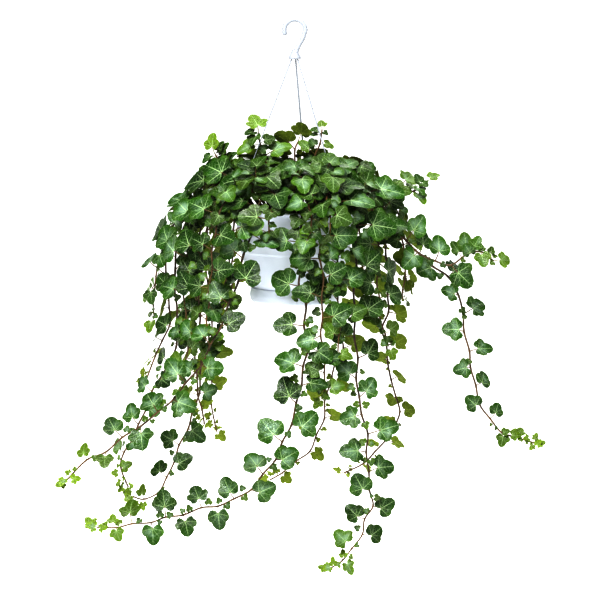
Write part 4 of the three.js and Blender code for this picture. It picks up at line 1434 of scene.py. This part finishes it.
def carved(piece: Object, cutters: BMesh) -> Object:
    """Cuts closed forms out of a piece.

    Args:
        piece: The piece, closed.
        cutters: Closed forms to cut away.

    Returns:
        The piece, with the cut applied.
    """
    mesh = mesh_of(cutters, "cutters")
    tool = linked("cutters", mesh)
    cut = piece.modifiers.new("cut", "BOOLEAN")
    cut.operation = "DIFFERENCE"
    cut.solver = "EXACT"
    cut.object = tool
    graph = bpy.context.evaluated_depsgraph_get()
    result = bpy.data.meshes.new_from_object(piece.evaluated_get(graph))
    piece.modifiers.remove(cut)
    old = piece.data
    piece.data = result
    bpy.data.meshes.remove(old)
    bpy.data.objects.remove(tool)
    bpy.data.meshes.remove(mesh)
    bm = bmesh.new()
    bm.from_mesh(result)
    crease(bm, 40)
    bm.to_mesh(result)
    bm.free()
    return piece


@dataclass
class Saucer:
    """Shallow dish under the pot, with a rolled wall and one small overflow hole."""

    finish: PlasticFinish
    overflow_azimuth: float = 30.0
    overflow_height: float = -403.0
    overflow_radius: float = 1.6

    def profile(self) -> list[tuple[float, float]]:
        """Section of the dish from the axis below round to the axis above."""
        s = SIZES
        base = s.saucer_base
        outside = [
            (0.0, base + 1.0), (42.0, base + 1.0), (43.5, base), (59.0, base),
            *arc((60.0, base + 7.0), 7.0, -80, -5, 6), (67.3, base + 10.0), (67.5, base + 12.0),
            (67.2, base + 15.0), (66.2, base + 19.5),
        ]
        lip = arc((s.saucer_radius - 2.9, s.saucer_top - 0.95), 0.95, 0, 180, 6)
        inside = [
            (64.4, base + 17.0), (65.5, base + 12.0), (64.9, base + 8.0), (61.0, base + 3.2),
            (57.5, base + s.saucer_wall), (0.0, base + s.saucer_wall),
        ]
        return outside + lip + inside

    def build(self) -> Object:
        """Makes the piece."""
        bm = bmesh.new()
        turned(bm, self.profile(), ROUND_STEPS)
        piece = finished(bm, "saucer_dish", [self.finish.build()], "saucer")
        drill = bmesh.new()
        place = around(SIZES.saucer_radius, self.overflow_azimuth, self.overflow_height) * MM
        turn = Matrix.Rotation(math.radians(self.overflow_azimuth), 4, "Z")
        turn = turn @ Matrix.Rotation(math.pi / 2, 4, "X")
        add_drill(drill, self.overflow_radius, 0.012, 20, Matrix.Translation(place) @ turn)
        return carved(piece, drill)


@dataclass
class Soil:
    """Potting soil that fills the pot, lumpy on top."""

    finish: SoilFinish
    lump: float = 1.6

    def build(self) -> Object:
        """Makes the piece."""
        s = SIZES
        floor = s.saucer_base + s.saucer_wall + s.pot_wall + 2 * s.seat_gap
        wall = s.pot_wall + 1.6 * s.seat_gap
        side = [(radius - wall, height) for radius, height in reversed(s.belly)]
        rings = [(radius, SOIL_TOP) for radius in (84, 80, 74, 67, 60, 52, 44, 36, 28, 20, 12, 5, 0)]
        profile = [(0.0, floor), (s.foot_radius - 1.0, floor), *side, (84.7, SOIL_TOP - 1.5), *rings]
        bm = bmesh.new()
        turned(bm, profile, ROUND_STEPS)
        for vert in bm.verts:
            if vert.co.z > (SOIL_TOP - 0.5) * MM:
                lump = noise.fractal(vert.co * 110.0, 1.0, 2.0, 3)
                vert.co.z += (clamp(lump, -1.0, 1.0) * self.lump - 0.6) * MM
        for face in bm.faces:
            face.smooth = True
        return finished(bm, "potting_soil", [self.finish.build()], "soil")


@dataclass
class Hanger:
    """Moulded hook with a flared hub, and the three strips that hold the pot."""

    hook_finish: PlasticFinish
    strand_finish: PlasticFinish
    rod: float = 3.3
    crook_radius: float = 15.5
    crook_centre: float = -12.2
    crook_end: float = 200.0

    def build(self) -> list[Object]:
        """Makes the hook and the strips."""
        material = self.strand_finish.build()
        strands = [self.strand(i + 1, azimuth, material) for i, azimuth in enumerate(SIZES.strand_azimuths)]
        return [self.hook(), *strands]

    def hook(self) -> Object:
        """Makes the crook, its shank and the hub."""
        course = []
        radii = []
        turn = self.crook_end
        while turn > -0.1:
            angle = math.radians(turn)
            x, z = self.crook_radius * math.cos(angle), self.crook_radius * math.sin(angle)
            course.append(Vector((x, 0.0, self.crook_centre + z)))
            radii.append(self.rod)
            turn -= 8.0
        bends = [Vector((x, 0.0, z)) for x, z in ((11.7, -24), (6.3, -33), (2.2, -41.5), (0, -50))]
        shank = smooth_course([course[-1], *bends], 4)
        course += shank[1:]
        radii += [mix(self.rod, 4.4, clamp((i - 6) / 10)) for i in range(1, len(shank))]
        tip = course[0] + (course[0] - course[1]).normalized() * 1.2
        course = [tip + (tip - course[0]).normalized() * 0.8, tip, *course]
        radii = [self.rod * 0.45, self.rod * 0.85, *radii]
        bm = bmesh.new()
        sweep(bm, frames_along(course, radii), 20)
        hub = bmesh.new()
        profile = [
            (0.0, -54.0), (8.3, -54.0), (8.9, -53.5), (9.0, -52.4), (8.6, -51.0), (7.2, -48.6),
            (5.8, -46.2), (4.9, -44.0), (4.3, -41.5), (0.0, -41.0),
        ]
        turned(hub, profile, 48)
        crease(hub, 180)
        mesh = mesh_of(hub, "hub")
        bm.from_mesh(mesh)
        bpy.data.meshes.remove(mesh)
        return finished(bm, "hook_moulding", [self.hook_finish.build()], "hanger_hook")

    def strand(self, number: int, azimuth: float, material: Material) -> Object:
        """Makes one strip with the clip at its foot.

        Args:
            number: Number of the strip.
            azimuth: Its direction from the axis.
            material: Its plastic.

        Returns:
            The piece.
        """
        s = SIZES
        end = s.rim_top - s.rim_thickness - s.seat_gap
        stations = [
            (-54.3, 5.0, 2.2, 2.4), (-60.0, 7.3, 1.5, 2.2), (-110.0, 27.6, 1.3, 2.2),
            (-170.0, 51.9, 1.3, 2.2), (-230.0, 76.3, 1.3, 2.3), (-258.0, 87.8, 1.5, 3.2),
            (-266.0, 91.0, 1.8, 4.6), (end, 91.0, 1.8, 4.6), (end, 91.0, 2.6, 8.0),
            (end - 4.0, 91.0, 0.9, 2.3),
        ]
        outward = around(1.0, azimuth, 0.0)
        beside = Vector((-outward.y, outward.x, 0.0))
        bm = bmesh.new()
        frames = []
        for height, radius, thick, wide in stations:
            place = Matrix.Translation((outward * radius + UP * height) * MM)
            turn = Matrix((beside, outward, UP)).transposed().to_4x4()
            frames.append(place @ turn @ Matrix.Diagonal((wide / 2 * MM, thick / 2 * MM, 1.0, 1.0)))
        sweep(bm, frames, 8)
        crease(bm, 50)
        return finished(
            bm, f"strand_{number}_moulding", [material], f"hanger_strand_{number}",
        )


@dataclass
class Studio:
    """Plain pale floor, soft light and the camera.

    Attributes:
        target: Point that the camera looks at, in metres.
        distance: Distance of the camera.
        elevation: Its height over the level, in degrees.
        lens: Focal length in millimetres on a sensor 36 mm wide.
        floor_height: Height of the floor.
        wall: Brightness of the wall.
        room: Brightness overhead.
        exposure: Exposure of the picture, in stops.
        gamma: Gamma of the picture.
    """

    target: tuple[float, float, float] = (0.0075, 0.0, -0.412)
    distance: float = 2.5
    elevation: float = 8.0
    lens: float = 100.0
    floor_height: float = -1.3
    wall: float = 0.8
    room: float = 0.03
    exposure: float = 0.68
    gamma: float = 0.6

    def build(self) -> None:
        """Makes the floor, the lights, the world and the camera."""
        self.floor()
        self.world()
        self.lamp("key", (-0.5, -1.7, 1.4), 1.3, 100.0)
        self.lamp("overhead", (0.2, 0.1, 1.6), 1.2, 14.0)
        self.lamp("back", (0.6, 1.8, 0.7), 1.3, 18.0)
        self.camera()
        view = bpy.context.scene.view_settings
        view.view_transform = "Standard"
        view.exposure = self.exposure
        view.gamma = self.gamma

    def floor(self) -> None:
        """Makes the floor."""
        bm = bmesh.new()
        bmesh.ops.create_circle(bm, cap_ends=True, segments=64, radius=30.0)
        bmesh.ops.translate(bm, verts=bm.verts[:], vec=(0.0, 0.0, self.floor_height))
        mesh = mesh_of(bm, "floor")
        graph = Graph("floor_paint")
        grain = graph.noise(graph.place(), 3.0, 2.0)
        colour = graph.blend(grain, linear("f4f4f3"), linear("fafafa"))
        mesh.materials.append(graph.surface(
            Base_Color=colour, Roughness=0.9, Emission_Color=(1.0, 1.0, 1.0, 1.0), Emission_Strength=0.85,
        ))
        linked("floor", mesh)

    def world(self) -> None:
        """Sets a white wall all round at the horizon, and a dimmer room overhead."""
        world = bpy.data.worlds.new("studio_room")
        world.use_nodes = True
        tree = world.node_tree
        place = tree.nodes.new("ShaderNodeTexCoord")
        parts = tree.nodes.new("ShaderNodeSeparateXYZ")
        height = tree.nodes.new("ShaderNodeMapRange")
        height.interpolation_type = "SMOOTHSTEP"
        spread = {"From Min": 0.06, "From Max": 0.22, "To Min": self.wall, "To Max": self.room}
        for socket, value in spread.items():
            height.inputs[socket].default_value = value
        tree.links.new(place.outputs["Generated"], parts.inputs[0])
        tree.links.new(parts.outputs["Z"], height.inputs["Value"])
        sky = tree.nodes["Background"]
        sky.inputs["Color"].default_value = (1.0, 1.0, 1.0, 1.0)
        tree.links.new(height.outputs["Result"], sky.inputs["Strength"])
        bpy.context.scene.world = world

    def lamp(self, name: str, place: tuple[float, float, float], size: float, power: float) -> None:
        """Sets a square soft light that looks at the plant.

        Args:
            name: Name of the light.
            place: Its place in metres.
            size: Side of its square.
            power: Its power in watts.
        """
        light = bpy.data.lights.new(name, "AREA")
        light.shape = "SQUARE"
        light.size = size
        light.energy = power
        lamp = linked(name, light)
        lamp.location = place
        lamp.rotation_euler = (Vector(self.target) - Vector(place)).to_track_quat("-Z", "Y").to_euler()

    def camera(self) -> None:
        """Sets the camera at the photograph's viewing angle."""
        lens = bpy.data.cameras.new("camera")
        lens.lens = self.lens
        lens.sensor_width = 36.0
        lens.sensor_fit = "HORIZONTAL"
        lens.clip_end = 100.0
        camera = linked("camera", lens)
        tilt = math.radians(self.elevation)
        away = Vector((0.0, -math.cos(tilt), math.sin(tilt)))
        camera.location = Vector(self.target) + away * self.distance
        camera.rotation_euler = (-away).to_track_quat("-Z", "Y").to_euler()
        bpy.context.scene.camera = camera


LEAF_UPPER = LeafFinish(
    "leaf_upper", "0b2c04", "376412", "86a222", "b4cc98", vein_share=0.65, gloss=0.3, shine=0.4, painted_sheen=0.72,
    relief=0.0006,
)
LEAF_UNDER = LeafFinish(
    "leaf_under", "5c6c24", "7a8a32", "8c9e3c", "a0ae5c", vein_share=0.5, gloss=0.6, shine=0.15, painted_sheen=0.0,
    relief=0.0004,
)
STALK_BARK = BarkFinish("stalk_skin", "5f4a2c", "8f9440")
STEM_BARK = BarkFinish("stem_bark", "2a2117", "6c5230")
POT_PLASTIC = PlasticFinish("pot_plastic_white", "d4dae6", "ccd2df", 0.42)
HOOK_PLASTIC = PlasticFinish("hook_plastic_white", "999da4", "90959c", 0.4)
STRAND_PLASTIC = PlasticFinish("strand_plastic_white", "8d929a", "858b93", 0.4)
PEAT = SoilFinish("potting_soil_peat", "1c130d", "4a3524", "b9aa92")


def main() -> None:
    """Builds the part and its studio."""
    logging.basicConfig(level=logging.INFO, format="%(name)s: %(message)s")
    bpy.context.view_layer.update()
    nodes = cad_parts
    Pot(POT_PLASTIC).build()
    Saucer(POT_PLASTIC).build()
    Soil(PEAT).build()
    Hanger(HOOK_PLASTIC, STRAND_PLASTIC).build()
    finishes = [finish.build() for finish in (LEAF_UPPER, LEAF_UNDER, STALK_BARK, STEM_BARK)]
    moulds = [BladeMould(seed) for seed in range(BLADE_KINDS)]
    thicket = Thicket(nodes.values())
    total = 0
    extra = 0
    for number, plan in enumerate(STEMS):
        line = StemLine(plan, number)
        packed = packed_leaves(line, nodes[plan.name])
        added = added_leaves(line, packed, thicket)
        Foliage(line, [*packed.values(), *added], moulds, finishes).build()
        total += len(packed)
        extra += len(added)
    LOG.info("%d packed leaves and %d added ones", total, extra)
    for mould in moulds:
        bpy.data.meshes.remove(mould.mesh)
    Studio().build()


if __name__ == "__main__":
    main()
